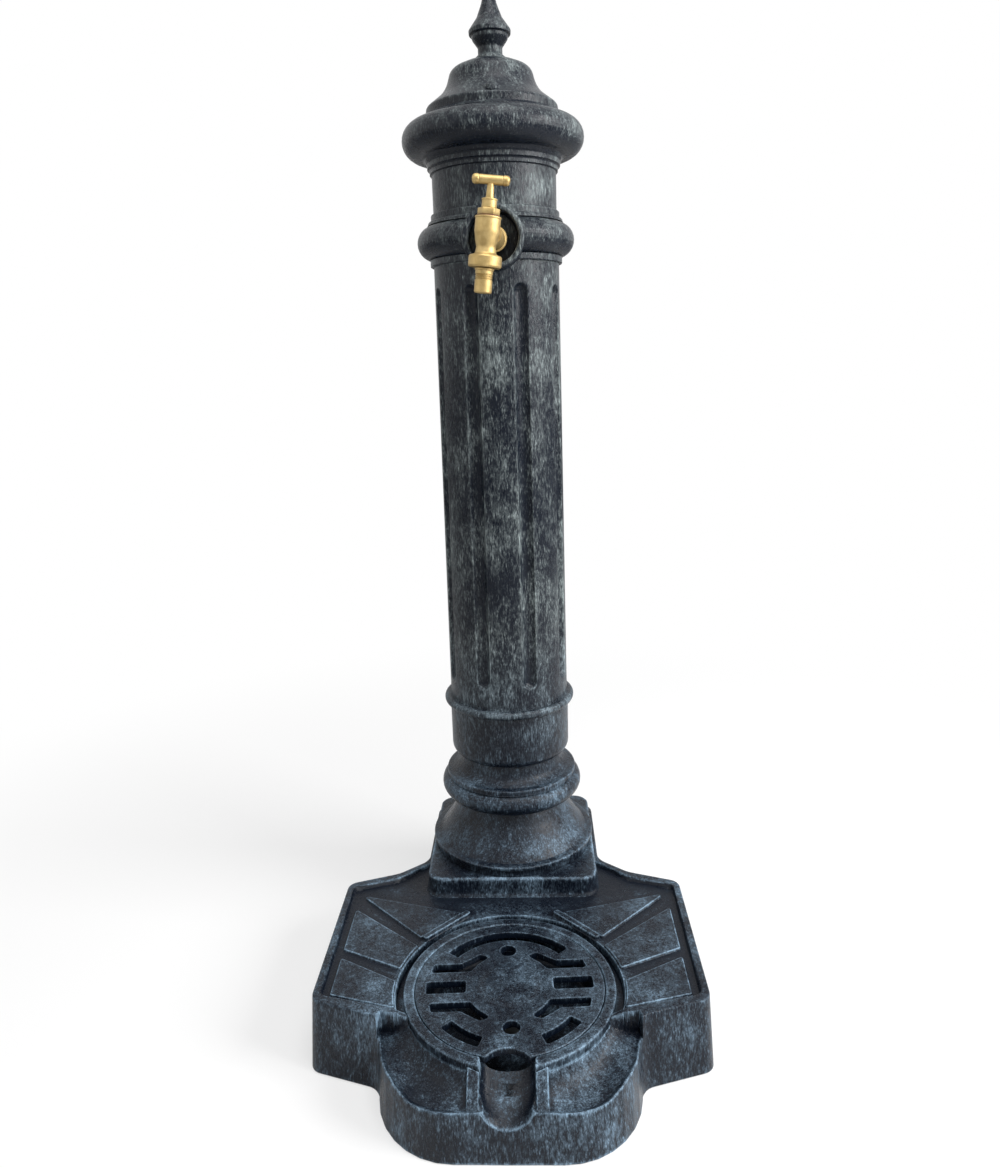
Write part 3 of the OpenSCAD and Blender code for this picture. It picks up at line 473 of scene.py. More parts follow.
# Tray: levels from the ground, and plan sizes from the drain's centre
RIM_Z = 82.5
FLOOR_Z = 77.5
LEDGE_Z = 68.5
LEDGE_W = 4.4
DRAFT = 0.023866  # share by which the rim draws in from the foot, towards the column
EDGE_R = 1.8
GUTTER_R = RING_R + 8
RIM_DIP, DIP_R, DIP_W = 3, 112, 14
WING_FRONT, WING_BACK = np.array([102.6, -47.4]), np.array([-0.214, 0.977])
WING_STEP, WING_STEP_X = 14, 129
LIP_Z = 51
CONE_Z, CONE_DROP, CONE_REACH = 70, 22, 10
LIP_RISE, LIP_RISE_X, LIP_RISE_W = 9, 86, 30
BEAD_H, BEAD_W = 2.4, 5
CHANNEL_R = 26
CHANNEL_Z = 38
CHANNEL_FRONT = 130.4
CHANNEL_FALL = 0.56
CHANNEL_DEPTH = 1.06 * CHANNEL_R
BRINK_LENGTH = 22
RIB_X, RIB_HALF, RIB_FALL = 32.2, 6.1, 0.97
PLINTH_HALF, PLINTH_CORNER = 104, 20
WELL_HALF, WELL_Z = 95, 92.2
UNDER_Z = 68.5
WING_UNDER = np.array([118.6, -19]), np.array([195.5, 163])
BACK_UNDER = np.array([-WELL_HALF, 123]), np.array([WELL_HALF, TO_DRAIN + WELL_HALF])


def both_sides(corners):
    """Corners of the right side, then the same corners mirrored and in reverse."""
    right = np.array(corners, float)
    return np.concatenate([right, right[::-1] * [-1, 1, 1]])


FOOT = rounded(both_sides([
    [120, -401, 80], [132, -317, 20], [209.5, -293, 16], [209.5, -84, 14],
    [148, -62, 40], [112, -32, 24], [112, 115, 20]])) + [0, TO_DRAIN]
FLOOR = rounded(both_sides([
    [102.6, -301.4, 0], [196.5, -278, 10], [196.5, -90, 8], [144, -72, 36], [106, -38, 0]])) + [0, TO_DRAIN]


def channel_bed(x, y):
    """Height of the overflow channel: |x|^n + |depth|^n = 1 in shares of its size, falling to the front.

    The power n is 2 at the brink, which is round, and 4 behind it, where the floor is flatter.
    """
    power = 2 + 2 * smooth((y + CHANNEL_FRONT) / BRINK_LENGTH)
    depth = (1 - np.clip(np.abs(x) / CHANNEL_R, 0, 1) ** power) ** (1 / power)
    return CHANNEL_Z + CHANNEL_R + (y + CHANNEL_FRONT) * CHANNEL_FALL - CHANNEL_DEPTH * depth


def rib_line(y):
    """Height of the ribs beside the channel, which fall to the lip in a straight line."""
    return LIP_Z + (y + CHANNEL_FRONT) * RIB_FALL


def tray_top(x, y, edge):
    """Height of the tray at points from the drain's centre, from S curves of their distances.

    The wings are sunk inside their rim and have a gutter round the ring. The lip falls from the ring as an
    exponential, and has a bead at its edge, two ribs and the channel between them.
    """
    r, side = np.hypot(x, y), np.abs(x)
    floor = inside_by(np.stack([x, y], -1), FLOOR)
    sunk = blend(floor - 0.8, 2.4)
    wings = RIM_Z - (RIM_Z - FLOOR_Z) * sunk - RIM_DIP * smooth(1 - (r - DIP_R) / DIP_W) * (1 - sunk)
    gutter = blend(GUTTER_R - r, 1.6) * smooth(floor / 2)
    wings = wings + (LEDGE_Z - wings) * gutter
    lip = CONE_Z - CONE_DROP * (1 - np.exp((RING_R - r) / CONE_REACH))
    lip = lip + LIP_RISE * smooth((side - LIP_RISE_X) / LIP_RISE_W) + BEAD_H * smooth(1.1 - edge / BEAD_W)
    rib = np.clip(rib_line(y), LIP_Z - 3, RING_Z - 0.5)
    lip = lip + (np.maximum(rib, lip) - lip) * blend(RIB_HALF - np.abs(side - RIB_X), 1.4)
    front = (np.stack([side, y], -1) - WING_FRONT) @ WING_BACK + WING_STEP * smooth((side - WING_STEP_X) / 5)
    top = lip + (wings - lip) * blend(front, 1.6)
    return np.where((side < CHANNEL_R) & (y < 0), np.minimum(top, channel_bed(x, y)), top)


def block_by(xy, half):
    """Least distance from each point to the sides of a square about the column, positive inside it."""
    middle = np.array([0, TO_DRAIN])
    return inside_box(xy, middle - half, middle + half)


def tray():
    """Closed section carried round the tray: out over its top, down its skirt and back underneath."""
    def spacing(p):
        side, y = np.abs(p[:, 0]), p[:, 1]
        at_channel = (y < -60) & (side < 60)
        at_wing = (np.abs(side - 125) < 18) & (y < -20)
        return np.where(at_channel | at_wing, 1.2, 2.6)
    foot = spread(FOOT, spacing)
    column = np.array([0, TO_DRAIN])
    rim = column + (foot - column) * (1 - DRAFT)
    crest = tray_top(rim[:, 0], rim[:, 1], np.zeros(len(rim)))
    edge = column + (foot - column) * (1 - DRAFT * crest / RIM_Z)[:, None]
    reach = np.linalg.norm(edge, axis=1)
    way = edge / reach[:, None]
    start = RING_R - LEDGE_W

    # Over the top: rows at set distances from the ring and from the edge, and even ones between
    room = np.minimum(1, (reach - RING_R) / 45)
    ledge = np.array([start, RING_R - 2, RING_R + 0.2])[:, None]
    from_ring = np.array([0.4, 1.0, 2.0, 4.0, 6.0, 7.0, 7.6, 8.2, 9.0, 10.5, 12.5])[:, None]
    from_edge = np.array([
        14, 11.8, 10.6, 9.8, 9.0, 8.2, 7.2, 5.8, 4.4, 3.2, 2.3, 1.6, 1.0, 0.5, 0.15])[:, None]
    low, high = RING_R + room * from_ring[-1], reach - room * from_edge[0]
    between = np.linspace(0, 1, 50)[1:-1, None]
    radius = np.concatenate([ledge + 0 * room, RING_R + room * from_ring, low + (high - low) * between,
                             reach - room * from_edge])
    xy = radius[..., None] * way
    inset = inside_by(xy, edge)
    z = tray_top(xy[..., 0], xy[..., 1], inset)
    z = np.where(radius < RING_R + 0.3, np.minimum(z, LEDGE_Z), z)
    z -= EDGE_R - np.sqrt(np.maximum(EDGE_R ** 2 - np.clip(EDGE_R - inset, 0, EDGE_R) ** 2, 0))
    lifted = z + (PLINTH_Z - 5.5 - z) * smooth(block_by(xy, PLINTH_HALF - 6) / 3)
    top = np.concatenate([xy, lifted[..., None]], -1)

    # Down the skirt, under the hollow floor and up the hole for the bowl
    s = np.array([0.03, 0.08, 0.16, 0.27, 0.4, 0.54, 0.68, 0.82, 0.93, 0.985])[:, None]
    fall = (crest - EDGE_R) * (1 - s)
    skirt = np.concatenate([edge + (foot - edge) * s[..., None], fall[..., None]], -1)
    foot_in = np.linalg.norm(foot - outward(foot), axis=1)
    under = (start + (foot_in - start) * np.linspace(1, 0, 40)[:, None])[..., None] * way
    wing = np.stack([np.abs(under[..., 0]), under[..., 1]], -1)
    hollow = np.maximum.reduce([
        UNDER_Z * smooth(inside_box(wing, *WING_UNDER) / 3),
        UNDER_Z * smooth(inside_box(under, *BACK_UNDER) / 3),
        WELL_Z * smooth(block_by(under, WELL_HALF) / 3)])
    bottom = np.concatenate([under, hollow[..., None]], -1)
    hole = np.column_stack([way * start, np.minimum(z[0], LEDGE_Z) * 0.5])[None]
    grid = np.concatenate([top, skirt, bottom, hole])
    grid[..., :2] += DRAIN
    verts, faces, stand = sheet(grid, (True, True))
    return verts, faces, tray_shade_and_brush(verts, stand, inset.ravel())


def tray_shade_and_brush(verts, stand, inset):
    """Edge and hollow figures of the tray, whose first points are those of its top, with their inset.

    They are darker between the plates, on the side rims and up the channel's walls, which is painted shade, and
    lighter on the channel's floor and brink.
    """
    rim_x, rim_y, channel_y, wall_x, plate_gap = 188, -28, -60, 15, 9
    lit_x, lit_y, lit_length = 18, -113, 13
    at, z = verts[:, :2] - DRAIN, verts[:, 2]
    side, y = np.abs(at[:, 0]), at[:, 1]
    edge, hollow = stand.T
    plates = np.max([inside_by(at, line) for line, _ in wing_plates()], 0)
    level = (np.abs(z - FLOOR_Z) < 1.5) & (inside_by(at, FLOOR) > 1)
    rim = smooth((side - rim_x) / 8) * smooth((y - rim_y) / 12) * (z > FLOOR_Z + 1)
    # Painted shade on the floor between the plates and on the tops of the side rims, with fewer edge lines there
    hollow = hollow - level * (1.0 + 1.5 * smooth((plate_gap + plates) / 4)) - 1.2 * rim
    edge = edge * (0.78 - 0.5 * rim)
    on_top = np.arange(len(at)) < len(inset)
    inset = np.pad(inset, (0, len(at) - len(inset)))
    channel = on_top & (side < CHANNEL_R - 1) & (y < channel_y)
    sunk = np.clip(np.clip(rib_line(y), LIP_Z, RING_Z) - z, 0, 12)
    walls = 0.02 + 0.17 * smooth((side - wall_x) / 6)
    # Painted shade up the channel's walls, and a little on its floor
    hollow = hollow - channel * smooth((inset - 3) / 8) * sunk * walls
    edge = edge + 0.45 * channel * smooth((lit_x - side) / 8) * smooth(1 - np.abs(y - lit_y) / lit_length)
    edge = edge + 0.7 * channel * smooth(1.2 - inset / 4)
    return np.stack([edge, hollow], 1)


def plinth():
    """Rounded square block: rings of its outline, then rings that close in on the hole under the column."""
    half, corner = PLINTH_HALF, PLINTH_CORNER
    line = divided(rounded([[-half, -half, corner], [half, -half, corner], [half, half, corner],
                            [-half, half, corner]]), 4, True)
    normal = outward(line)
    circle = line / np.linalg.norm(line, axis=1)[:, None]
    outside = [(-3.0, FLOOR_Z - 2), (-2.6, FLOOR_Z + 0.2), (-1.0, FLOOR_Z + 2.2), (0, FLOOR_Z + 5),
               (0.3, PLINTH_Z - 8), (0.5, PLINTH_Z - 3.2), (0.9, PLINTH_Z - 1.5), (2.2, PLINTH_Z - 0.3),
               (4, PLINTH_Z), (8, PLINTH_Z)]
    hole = [(92, PLINTH_Z - 0.2), (56, PLINTH_Z - 0.2), (56, PLINTH_Z - 9)]
    inside = [(9, PLINTH_Z - 9), (9, FLOOR_Z - 2)]
    rows = [(line - normal * inset, z) for inset, z in outside] + [(circle * r, z) for r, z in hole] \
        + [(line - normal * inset, z) for inset, z in inside]
    grid = np.stack([np.column_stack([xy, np.full(len(xy), z)]) for xy, z in rows])
    grid[..., :2] += COLUMN
    return sheet(grid, (True, True), (0,))


def wing_plates():
    """Outlines and heights of the plates on the floor of both wings, and of the bars beside the gutter."""
    plate_h, bar_h = 2.5, 5.0
    plate_in, plate_out = RING_R + 10.5, 186.5

    def by_rim(top_y, top_angle, low_y, low_angle):
        angle = np.radians(np.linspace(top_angle, low_angle, 14))
        inner = plate_in * np.stack([np.cos(angle), np.sin(angle)], 1)
        return np.concatenate([[[plate_out, top_y]], inner, [[plate_out, low_y]]])
    bar_top = np.array([50, GUTTER_R])
    bar_foot = (GUTTER_R + 1) * np.array([math.cos(math.radians(37)), math.sin(math.radians(37))])
    shapes = [(by_rim(130, 31, 57, 12), plate_h), (by_rim(43, 3, -14, -16), plate_h),
              (np.array([[184, 157], bar_top + [9, 3], bar_foot + [7, 5]]), plate_h),
              (np.array([bar_foot, bar_foot + [5, 4], bar_top + [4, 5], bar_top + [-2, 1]]), bar_h)]
    return [(line * [side, 1], rise) for line, rise in shapes for side in (1, -1)]


def panels():
    """Low bevelled plates on the floor of each wing, and the bar beside the gutter."""
    made = []
    for line, rise in wing_plates():
        corners = np.column_stack([line, np.full(len(line), 2.2)])
        area = (line[:, 0] * np.roll(line[:, 1], -1) - line[:, 1] * np.roll(line[:, 0], -1)).sum()
        path = divided(rounded(corners if area > 0 else corners[::-1], steps=4), 3, True)
        count, low, top = len(path), FLOOR_Z - 1, FLOOR_Z + rise
        # The low rings' negative stand is painted shade at the plates' feet; the upper rings catch the coat on the
        # bevel
        bevel = carried(path + DRAIN, [
            (-0.9, low), (-0.8, FLOOR_Z + 0.2), (-0.2, FLOOR_Z + 0.8), (0, top - 0.9), (0.35, top - 0.25),
            (0.9, top), (1.5, top), (2.0, top)], [-1, -0.9, -0.4, 0.5, 0.9, 0.6, 0.1, 0], False)
        face = filled([bevel[0][-count:, :2]], top)
        face[2][:, 1] -= 0.7
        made += [bevel, face, filled([bevel[0][:count, :2]], low, True)]
    return made


def bowl():
    """Turned wall, cut away by the channel, round a flat floor with two bolt holes on hollow feet."""
    floor_r, low, top = 84, 31.5, 40.5
    bolt_r, bolt_x, foot_r = 6.5, 60, 14.5
    columns = 440
    profile = divided(rounded([
        [floor_r, low, 0], [101, low, 2], [101, 59.5, 1], [105.6, 60, 0], [105.6, 68.6, 0],
        [RING_R, 68.6, 0], [RING_R, RING_Z, 1.6], [99.6, RING_Z, 1.8], [99.4, 71.3, 0], [92, 71.3, 0.8],
        [92, top, 5], [floor_r, top, 0]], False, 6), 1.6)
    grid = swept(profile, (0, 0), columns)
    x, y, z = np.moveaxis(grid, -1, 0)
    bed = np.maximum(channel_bed(x, y), top + 1.5)
    grid[..., 2] = np.where((np.abs(x) < CHANNEL_R) & (y < -60), np.minimum(z, bed), z)
    grid[..., :2] += DRAIN
    made = [sheet(grid)]
    rings = [DRAIN + ring(floor_r, columns)]
    foot = divided(rounded([
        [bolt_r, 0, 0], [foot_r, 0, 1], [foot_r, low + 0.5, 0], [bolt_r, low + 0.5, 0]]), 3, True)
    for side in (1, -1):
        middle = DRAIN + [bolt_x * side, 0]
        rings.append(middle + ring(bolt_r, 48))
        # The bolt holes' walls get a low stand: painted shade inside the holes
        made += [turned(foot, middle, 48, True),
                 carried(rings[-1][::-1], [(0, low), (0, top)], [-2, -2], False)]
    return made + [filled(rings, top), filled(rings, low, True)]


def grate():
    """Flat plate between its rim and its slots: each edge is carried round, and flat faces fill the rest."""
    low, top = GRATE_LO[2], GRATE_HI[2]
    rim_r, notch_r, notch_y, finger_r = 99, CHANNEL_R - 1, 111, 8.5
    turn = math.radians(3)

    def arc(radius, start, end, count):
        t = np.radians(np.linspace(start, end, count))
        return radius * np.stack([np.cos(t), np.sin(t)], 1)

    def slot(line, radius=2.5):
        return rounded(np.column_stack([line, np.full(len(line), radius)]), steps=5)

    # Right side's slots, mirrored, then the long back slot and the two finger holes, all turned a little
    bent = np.array([[41, 23], [83, 23], [80, 35], [51, 35], [31, 49], [21, 45], [34, 33]])
    straight = np.array([[46, -8.5], [87, -8.5], [87, 8.5], [46, 8.5]])
    curved = np.concatenate([arc(89, -68, -39, 16), arc(76, -39, -68, 14)])
    right = [slot(bent), slot((bent * [1, -1])[::-1]), slot(straight), slot(curved, 1.5)]
    holes = right + [(line * [-1, 1])[::-1] for line in right]
    holes.append(slot(np.concatenate([arc(85, 40, 140, 40), arc(72, 140, 40, 36)]), 1.5))
    holes += [ring(finger_r, 40) + [0, 54], ring(finger_r, 40) - [0, 60]]
    spin = np.array([[math.cos(turn), math.sin(turn)], [-math.sin(turn), math.cos(turn)]])
    holes = [divided(line @ spin, 2.5, True) for line in holes]

    # Round rim with a round notch where it meets the channel
    cross_y = (notch_y ** 2 + rim_r ** 2 - notch_r ** 2) / (2 * notch_y)
    cross_x = math.sqrt(rim_r ** 2 - cross_y ** 2)
    a = math.degrees(math.asin(cross_x / rim_r))
    b = math.degrees(math.atan2(notch_y - cross_y, cross_x))
    notch = arc(notch_r, 180 - b, b, 26)[1:-1] - [0, notch_y]
    rim = divided(np.concatenate([arc(rim_r, -90 + a, 270 - a, 180), notch]), 3, True)

    foot = [(2.0, low), (0.8, low), (0, low + 0.8)]
    slot_edge = foot + [(0, top - 1.0), (0.3, top - 0.3), (1.0, top), (1.6, top), (2.2, top)]
    rim_edge = foot + [(0, top - 2.0), (0.3, top - 1.0), (0.8, top - 0.35), (1.5, top), (2.2, top)]
    # Negative stand on the walls of the rim and slots: painted shade inside them
    stand = [-2, -2, -2, -1.2, 0.3, 0.5, 0.1, 0]
    parts = [carried(rim, rim_edge, stand, False)]
    parts += [carried(hole[::-1], slot_edge, stand, False) for hole in holes]
    counts = [len(line) for line in [rim] + holes]
    faces_up = filled([p[0][-n:, :2] for p, n in zip(parts, counts)], top)
    faces_down = filled([p[0][:n, :2] for p, n in zip(parts, counts)], low, True)
    crown = turned(divided(rounded([
        [0, top + 1.7, 0], [26, top + 1.3, 20], [35, top - 0.3, 4], [36, top - 1.5, 0], [0, top - 1.5, 0]],
        False), 1.5), (0, 0), 96)
    parts += [faces_up, faces_down, crown]
    return [(verts + [*DRAIN, 0], faces, lift) for verts, faces, lift in parts]


piece("tray", [tray()], "standpipe", "painted_iron", ["base_casting"])
piece("plinth", [plinth()], "standpipe", "painted_iron")
piece("tray_panels", panels(), "standpipe", "painted_iron")
piece("bowl", bowl(), "standpipe", "painted_iron", ["sump_bowl"])
piece("grate_plate", grate(), "grate", "painted_iron", ["drain_grate"])


# Column
def painted_highlight(part, bearing, width, middle, reach, amount):
    """A part whose edge figure rises towards a bearing in degrees right of the front and a middle height, as a
    painted highlight.
    """
    verts, faces, stand = part
    off = verts[:, :2] - COLUMN
    away = np.degrees(np.arctan2(off[:, 0], -off[:, 1])) - bearing
    rise = smooth(1 - np.abs(verts[:, 2] - middle) / reach)
    stand[:, 0] += amount * smooth(1 - np.abs(away) / width) * rise
    return verts, faces, stand


def pedestal():
    """Turned bell, ring, neck and cup over a hollow foot, with painted highlights on the front of bell and cup and
    painted shade at the foot.
    """
    z, top = PLINTH_Z, SHAFT_Z
    belt = z + 71
    verts, faces, stand = turned(divided(rounded([
        [100.5, z, 0], [100.5, z + 9, 0.8], [103.5, z + 9.5, 0.8], [103.5, z + 13.5, 1.6], [95.5, z + 15, 1],
        [84, z + 31, 40], [72, z + 50, 40], [62, belt, 0.6], [89, belt, 13.5], [89, belt + 27, 13.5],
        [82, belt + 27, 0.6], [82, belt + 33, 2], [75, belt + 34, 1], [67, belt + 39, 14],
        [62, belt + 57, 0.6], [74, belt + 57, 11], [74, top - 12, 1], [81, top - 12, 4.8],
        [81, top - 2, 4.8], [73.6, top - 2, 0.4], [73.6, top, 0.5], [62, top, 0], [53, top - 26, 0],
        [53, belt + 1, 10], [85, z + 13, 8], [85, z, 0]]), 1.3, True), columns=180, wrap=True)
    height = verts[:, 2]
    stand[:, 0] *= np.where(np.abs(height - (top - 7)) < 6.5, 0.6, 1)
    # Painted shade: the lowest 7 mm of the foot, where it sits on the plinth, is made dark
    stand -= np.where(height < z + 7, 1.0, 0)[:, None]
    # Painted highlights: a lighter coat on the bell's front-right and on the cup's front, where the light falls
    part = painted_highlight((verts, faces, stand), 30, 75, z + 26, 26, 0.5)
    return painted_highlight(part, 15, 60, top - 34, 24, 0.4)


def shaft():
    """Tapered column whose radius is the lesser of its own and that of eight round-ended grooves, blended.

    A groove is a ball of its own radius, drawn out upwards, whose centre lies outside the column.
    """
    foot_r, taper, bore_r = 73, 3, 60
    flutes, flute_r, flute_out, flute_end, soft = 8, 9, 3, 23, 0.9
    tall = HEAD_Z - SHAFT_Z
    near_end = np.concatenate([np.linspace(0, 22, 10), np.linspace(flute_end, 46, 26)])
    z = np.concatenate([near_end, np.linspace(49, tall - 49, 120), tall - near_end[::-1]])[:, None]
    angle = (np.arange(416) / 416 * TURN)[None]
    radius = foot_r - taper * z / tall
    across = radius * ((angle + TURN / 4) % (TURN / flutes) - TURN / flutes / 2)
    end = flute_end + flute_r
    past = np.maximum(np.maximum(end - z, z - (tall - end)), 0)
    gap = flute_out - np.sqrt(np.maximum(flute_r ** 2 - across ** 2 - past ** 2, 0))
    rest = 0.5 * (math.hypot(flute_out, soft) - flute_out)
    r = np.minimum(radius, radius - 0.5 * (np.hypot(gap, soft) - gap) + rest)
    rows = [(r, SHAFT_Z + z), (np.full((1, 1), bore_r), HEAD_Z), (np.full((1, 1), bore_r), SHAFT_Z)]
    grid = np.concatenate([np.stack(np.broadcast_arrays(
        COLUMN[0] + q * np.cos(angle), COLUMN[1] + q * np.sin(angle), h), -1) for q, h in rows])
    verts, faces, stand = sheet(grid, (True, True))
    return verts, faces, stand * [0.5, 0.65]


def head():
    """Turned collar, drum, steps and cap, flattened inside the ring that stands out round the tap."""
    z = HEAD_Z
    drum, step, cap = z + 54, z + 94, z + 111
    eye_in, eye_out = 26, 32
    profile = divided(rounded([
        [60, z - 0.2, 0], [73.5, z, 1], [73.5, z + 7, 0.6], [87, z + 7, 17.5], [87, z + 42, 17.5],
        [75, z + 42, 0.6], [74, z + 46, 2], [71, z + 46.5, 0.5], [71, drum - 0.5, 1.5], [68, drum, 0.5],
        [68, step, 0.6], [70, step + 0.5, 0.5], [70, step + 5, 2], [72.5, step + 6, 0.5],
        [72.5, step + 11, 2], [74, step + 12, 0.6], [76.5, cap - 1, 3], [98.5, cap, 17],
        [98.5, cap + 34, 17], [79, cap + 34, 1], [78, LID_Z, 0.6], [49, LID_Z, 0], [49, z + 20, 0],
        [60, z + 12, 0]]), 1.3, True)
    grid = swept(profile, COLUMN, 200)
    _, faces, stand = sheet(grid, (True, True), (0,))
    front = COLUMN[1] - 64
    away = np.hypot(grid[..., 0], grid[..., 2] - TAP[2])
    pressed = (away < (eye_in + eye_out) / 2) & (grid[..., 1] < front)
    grid[..., 1] = np.where(pressed, front, grid[..., 1])
    # Painted highlight: a lighter coat on the drum's right side, where the light is reflected
    shell = painted_highlight((grid.reshape(-1, 3), faces, stand), 48, 40, z + 74, 30, 0.55)
    eye = turned(divided(rounded([
        [0, 62, 0], [eye_out, 62, 0], [eye_out, 92, 2.6], [eye_in, 92, 2.2], [eye_in, 70.2, 2],
        [0, 70.2, 0]], False, 8), 1.2), (0, 0), 96)
    to_front = np.array([[1, 0, 0], [0, 0, -1], [0, 1, 0]])
    verts, faces, stand = moved(eye, to_front, [0, COLUMN[1], TAP[2]])
    return [shell, (verts, faces, stand * [0.5, 1])]


def lid():
    """Turned stepped dome, hollow below, with a small round lug on its front slope."""
    z = LID_Z
    dome = turned(divided(rounded([
        [48, z - 8, 1], [48, z, 0], [76, z, 0], [76, z + 2, 0.8], [71, z + 5, 1], [71, z + 13, 4],
        [49.5, z + 29, 34], [43.5, z + 50, 12], [29.5, z + 56, 2], [25.5, z + 57, 1], [5.2, z + 57, 0],
        [5.2, z + 45, 0], [31, z + 50, 4], [42, z + 23, 8], [42, z - 8, 0]]), 1.2, True), wrap=True)
    lug = turned(divided(rounded([
        [0, 5, 0], [4.5, 4.6, 3], [7.5, 1.5, 2], [8, -3, 0], [0, -3, 0]], False), 0.8), (0, 0), 48)
    slope = np.array([[1, 0, 0], [0, 0.802, -0.597], [0, 0.597, 0.802]])
    return [dome, moved(lug, slope, [COLUMN[0] + 2.5, COLUMN[1] - 63.5, z + 18])]


def finial():
    """Turned finial with a waisted foot, a rimmed vase and a rounded tip."""
    z, top = FINIAL_Z, FINIAL_HI[2]
    return turned(divided(rounded([
        [0, z, 0], [17.5, z, 1], [16.5, z + 3, 2], [13, z + 6, 3], [13, z + 13, 4], [19, z + 21, 5],
        [19.5, z + 24.5, 0.8], [22, z + 25, 1], [22.4, z + 29, 2.5], [13.5, z + 41, 8], [7.4, z + 56, 30],
        [4.5, top, 3.8], [0, top, 0]], False), 0.8), columns=96)


piece("bell_foot", [pedestal()], "standpipe", "painted_iron", ["pedestal"])
piece("column_shaft", [shaft()], "standpipe", "painted_iron", ["fluted_shaft"])
piece("capped_head", head(), "standpipe", "painted_iron", ["head_casting"])
piece("lid_dome", lid(), "standpipe", "painted_iron", ["dome_lid"])
piece("finial_tip", [finial()], "standpipe", "painted_iron", ["finial"])

# Tap, drawn about its own axis
LEAN = np.column_stack([[TAP_UP[2], 0, -TAP_UP[0]], [0, 1, 0], TAP_UP])
TO_BACK = np.array([[1, 0, 0], [0, 0, 1], [0, -1, 0]])
ACROSS = np.array([[0, 0, 1], [0, 1, 0], [-1, 0, 0]])


def on_tap(part):
    """A part drawn about the tap's own axis, leaned and set in place."""
    return moved(part, LEAN, TAP)


def lathe(corners):
    """Small turned part about the tap's axis."""
    return turned(divided(rounded(corners, False, 6), 0.5), (0, 0), 64)


def six_sided(corner, low, high, bevel):
    """Six-sided nut with softened corners and bevelled ends."""
    corners = np.column_stack([ring(corner, 6), np.full(6, 0.8)])
    line = divided(rounded(corners, steps=4), 1.5, True)
    return carried(line, [
        (2 * bevel, low), (bevel, low), (0.2, low + 0.4 * bevel), (0, low + bevel), (0, high - bevel),
        (0.2, high - 0.4 * bevel), (bevel, high), (2 * bevel, high)], [0] * 8)


def tap_body():
    """Turned waisted barrel, bored for the stem, with a flared branch and flange behind it."""
    barrel = lathe([[0, -28, 0], [13, -28, 0.6], [13, -21.5, 0.5], [10.6, -19.6, 2], [9.7, -14.5, 8],
                    [12.7, 0, 16], [12.5, 12, 0.2], [13, 12.5, 0.4], [13, 14, 0.4], [6, 14, 0], [6, 4, 0],
                    [0, 4, 0]])
    branch = lathe([[0, 2, 0], [9, 2, 0], [9.6, 20, 20], [11, 38, 1], [13, 38.5, 0.5], [13, 42.5, 0.8],
                    [0, 42.5, 0]])
    return [on_tap(barrel), on_tap(moved(branch, TO_BACK, [5.5, 0, -1]))]


def bonnet():
    """Six-sided bonnet with a round neck."""
    neck = lathe([[0, 20, 0], [5.9, 20, 0], [5.9, 26, 0], [0, 26, 0]])
    return [on_tap(six_sided(11.0, 15, 21.5, 0.5)), on_tap(neck)]


def gland():
    """Turned sleeve with a rimmed top."""
    return [on_tap(lathe([[4.1, 21.4, 0], [7.2, 21.4, 0.3], [7.5, 22.2, 0.3], [7.3, 28.6, 0.2],
                          [7.8, 29, 0.2], [7.8, 30.2, 0.4], [4.1, 30.4, 0], [4.1, 21.4, 0]]))]


def union_ring():
    """Turned ring with chamfered edges."""
    return [on_tap(lathe([[9, -33, 0], [15.4, -33, 0.6], [16.5, -31.6, 0.8], [16.5, -23.2, 0.8],
                          [15.5, -21.8, 0.6], [10.4, -21, 0.4], [9, -22, 0], [9, -33, 0]]))]


def tail():
    """Turned tube with a collar, three barbs and a plain end."""
    out_r, root_r, bore_r = 8.8, 7.9, 6
    barbs = []
    for z in (-39, -41, -43):
        barbs += [[out_r, z, 0.3], [root_r, z - 0.6, 0.2]]
    collar = [[bore_r, -32, 0], [9.6, -33.8, 0.2], [9.6, -35.4, 0.3], [out_r, -36, 0.2]]
    end = [[out_r, -45, 0.3], [out_r, -56, 0.2], [8.0, -57, 0.2], [bore_r, -57, 0], [bore_r, -32, 0]]
    return [on_tap(lathe(collar + barbs + end))]


def stem():
    """Turned rod that tapers towards the handle."""
    return [on_tap(lathe([[0, 10, 0], [4, 10, 0], [4, 31.5, 0.6], [3.2, 43.5, 0.5], [2.6, 46, 0],
                          [0, 46, 0]]))]


def tee():
    """Turned bar with thicker rounded ends, laid across the stem."""
    half = [[0, 18.5, 0], [4.8, 18.5, 3.4], [4.8, 12.5, 0.5], [4.3, 11.9, 0.3], [4.5, 10.6, 0.3]]
    bar = lathe([[r, -along, bend] for r, along, bend in half] + half[::-1])
    return [on_tap(moved(bar, ACROSS, [0, 0, 47.3]))]


piece("tap_barrel", tap_body(), "standpipe", "brass", ["tap_body"])
piece("bonnet_hex", bonnet(), "standpipe", "brass", ["bonnet"])
piece("gland", gland(), "standpipe", "brass", ["gland_nut"])
piece("union_ring", union_ring(), "standpipe", "brass", ["union_nut"])
piece("tail", tail(), "standpipe", "brass", ["hose_tail"])
piece("stem", stem(), "handle", "brass", ["spindle"])
piece("tee", tee(), "handle", "brass", ["tee_handle"])

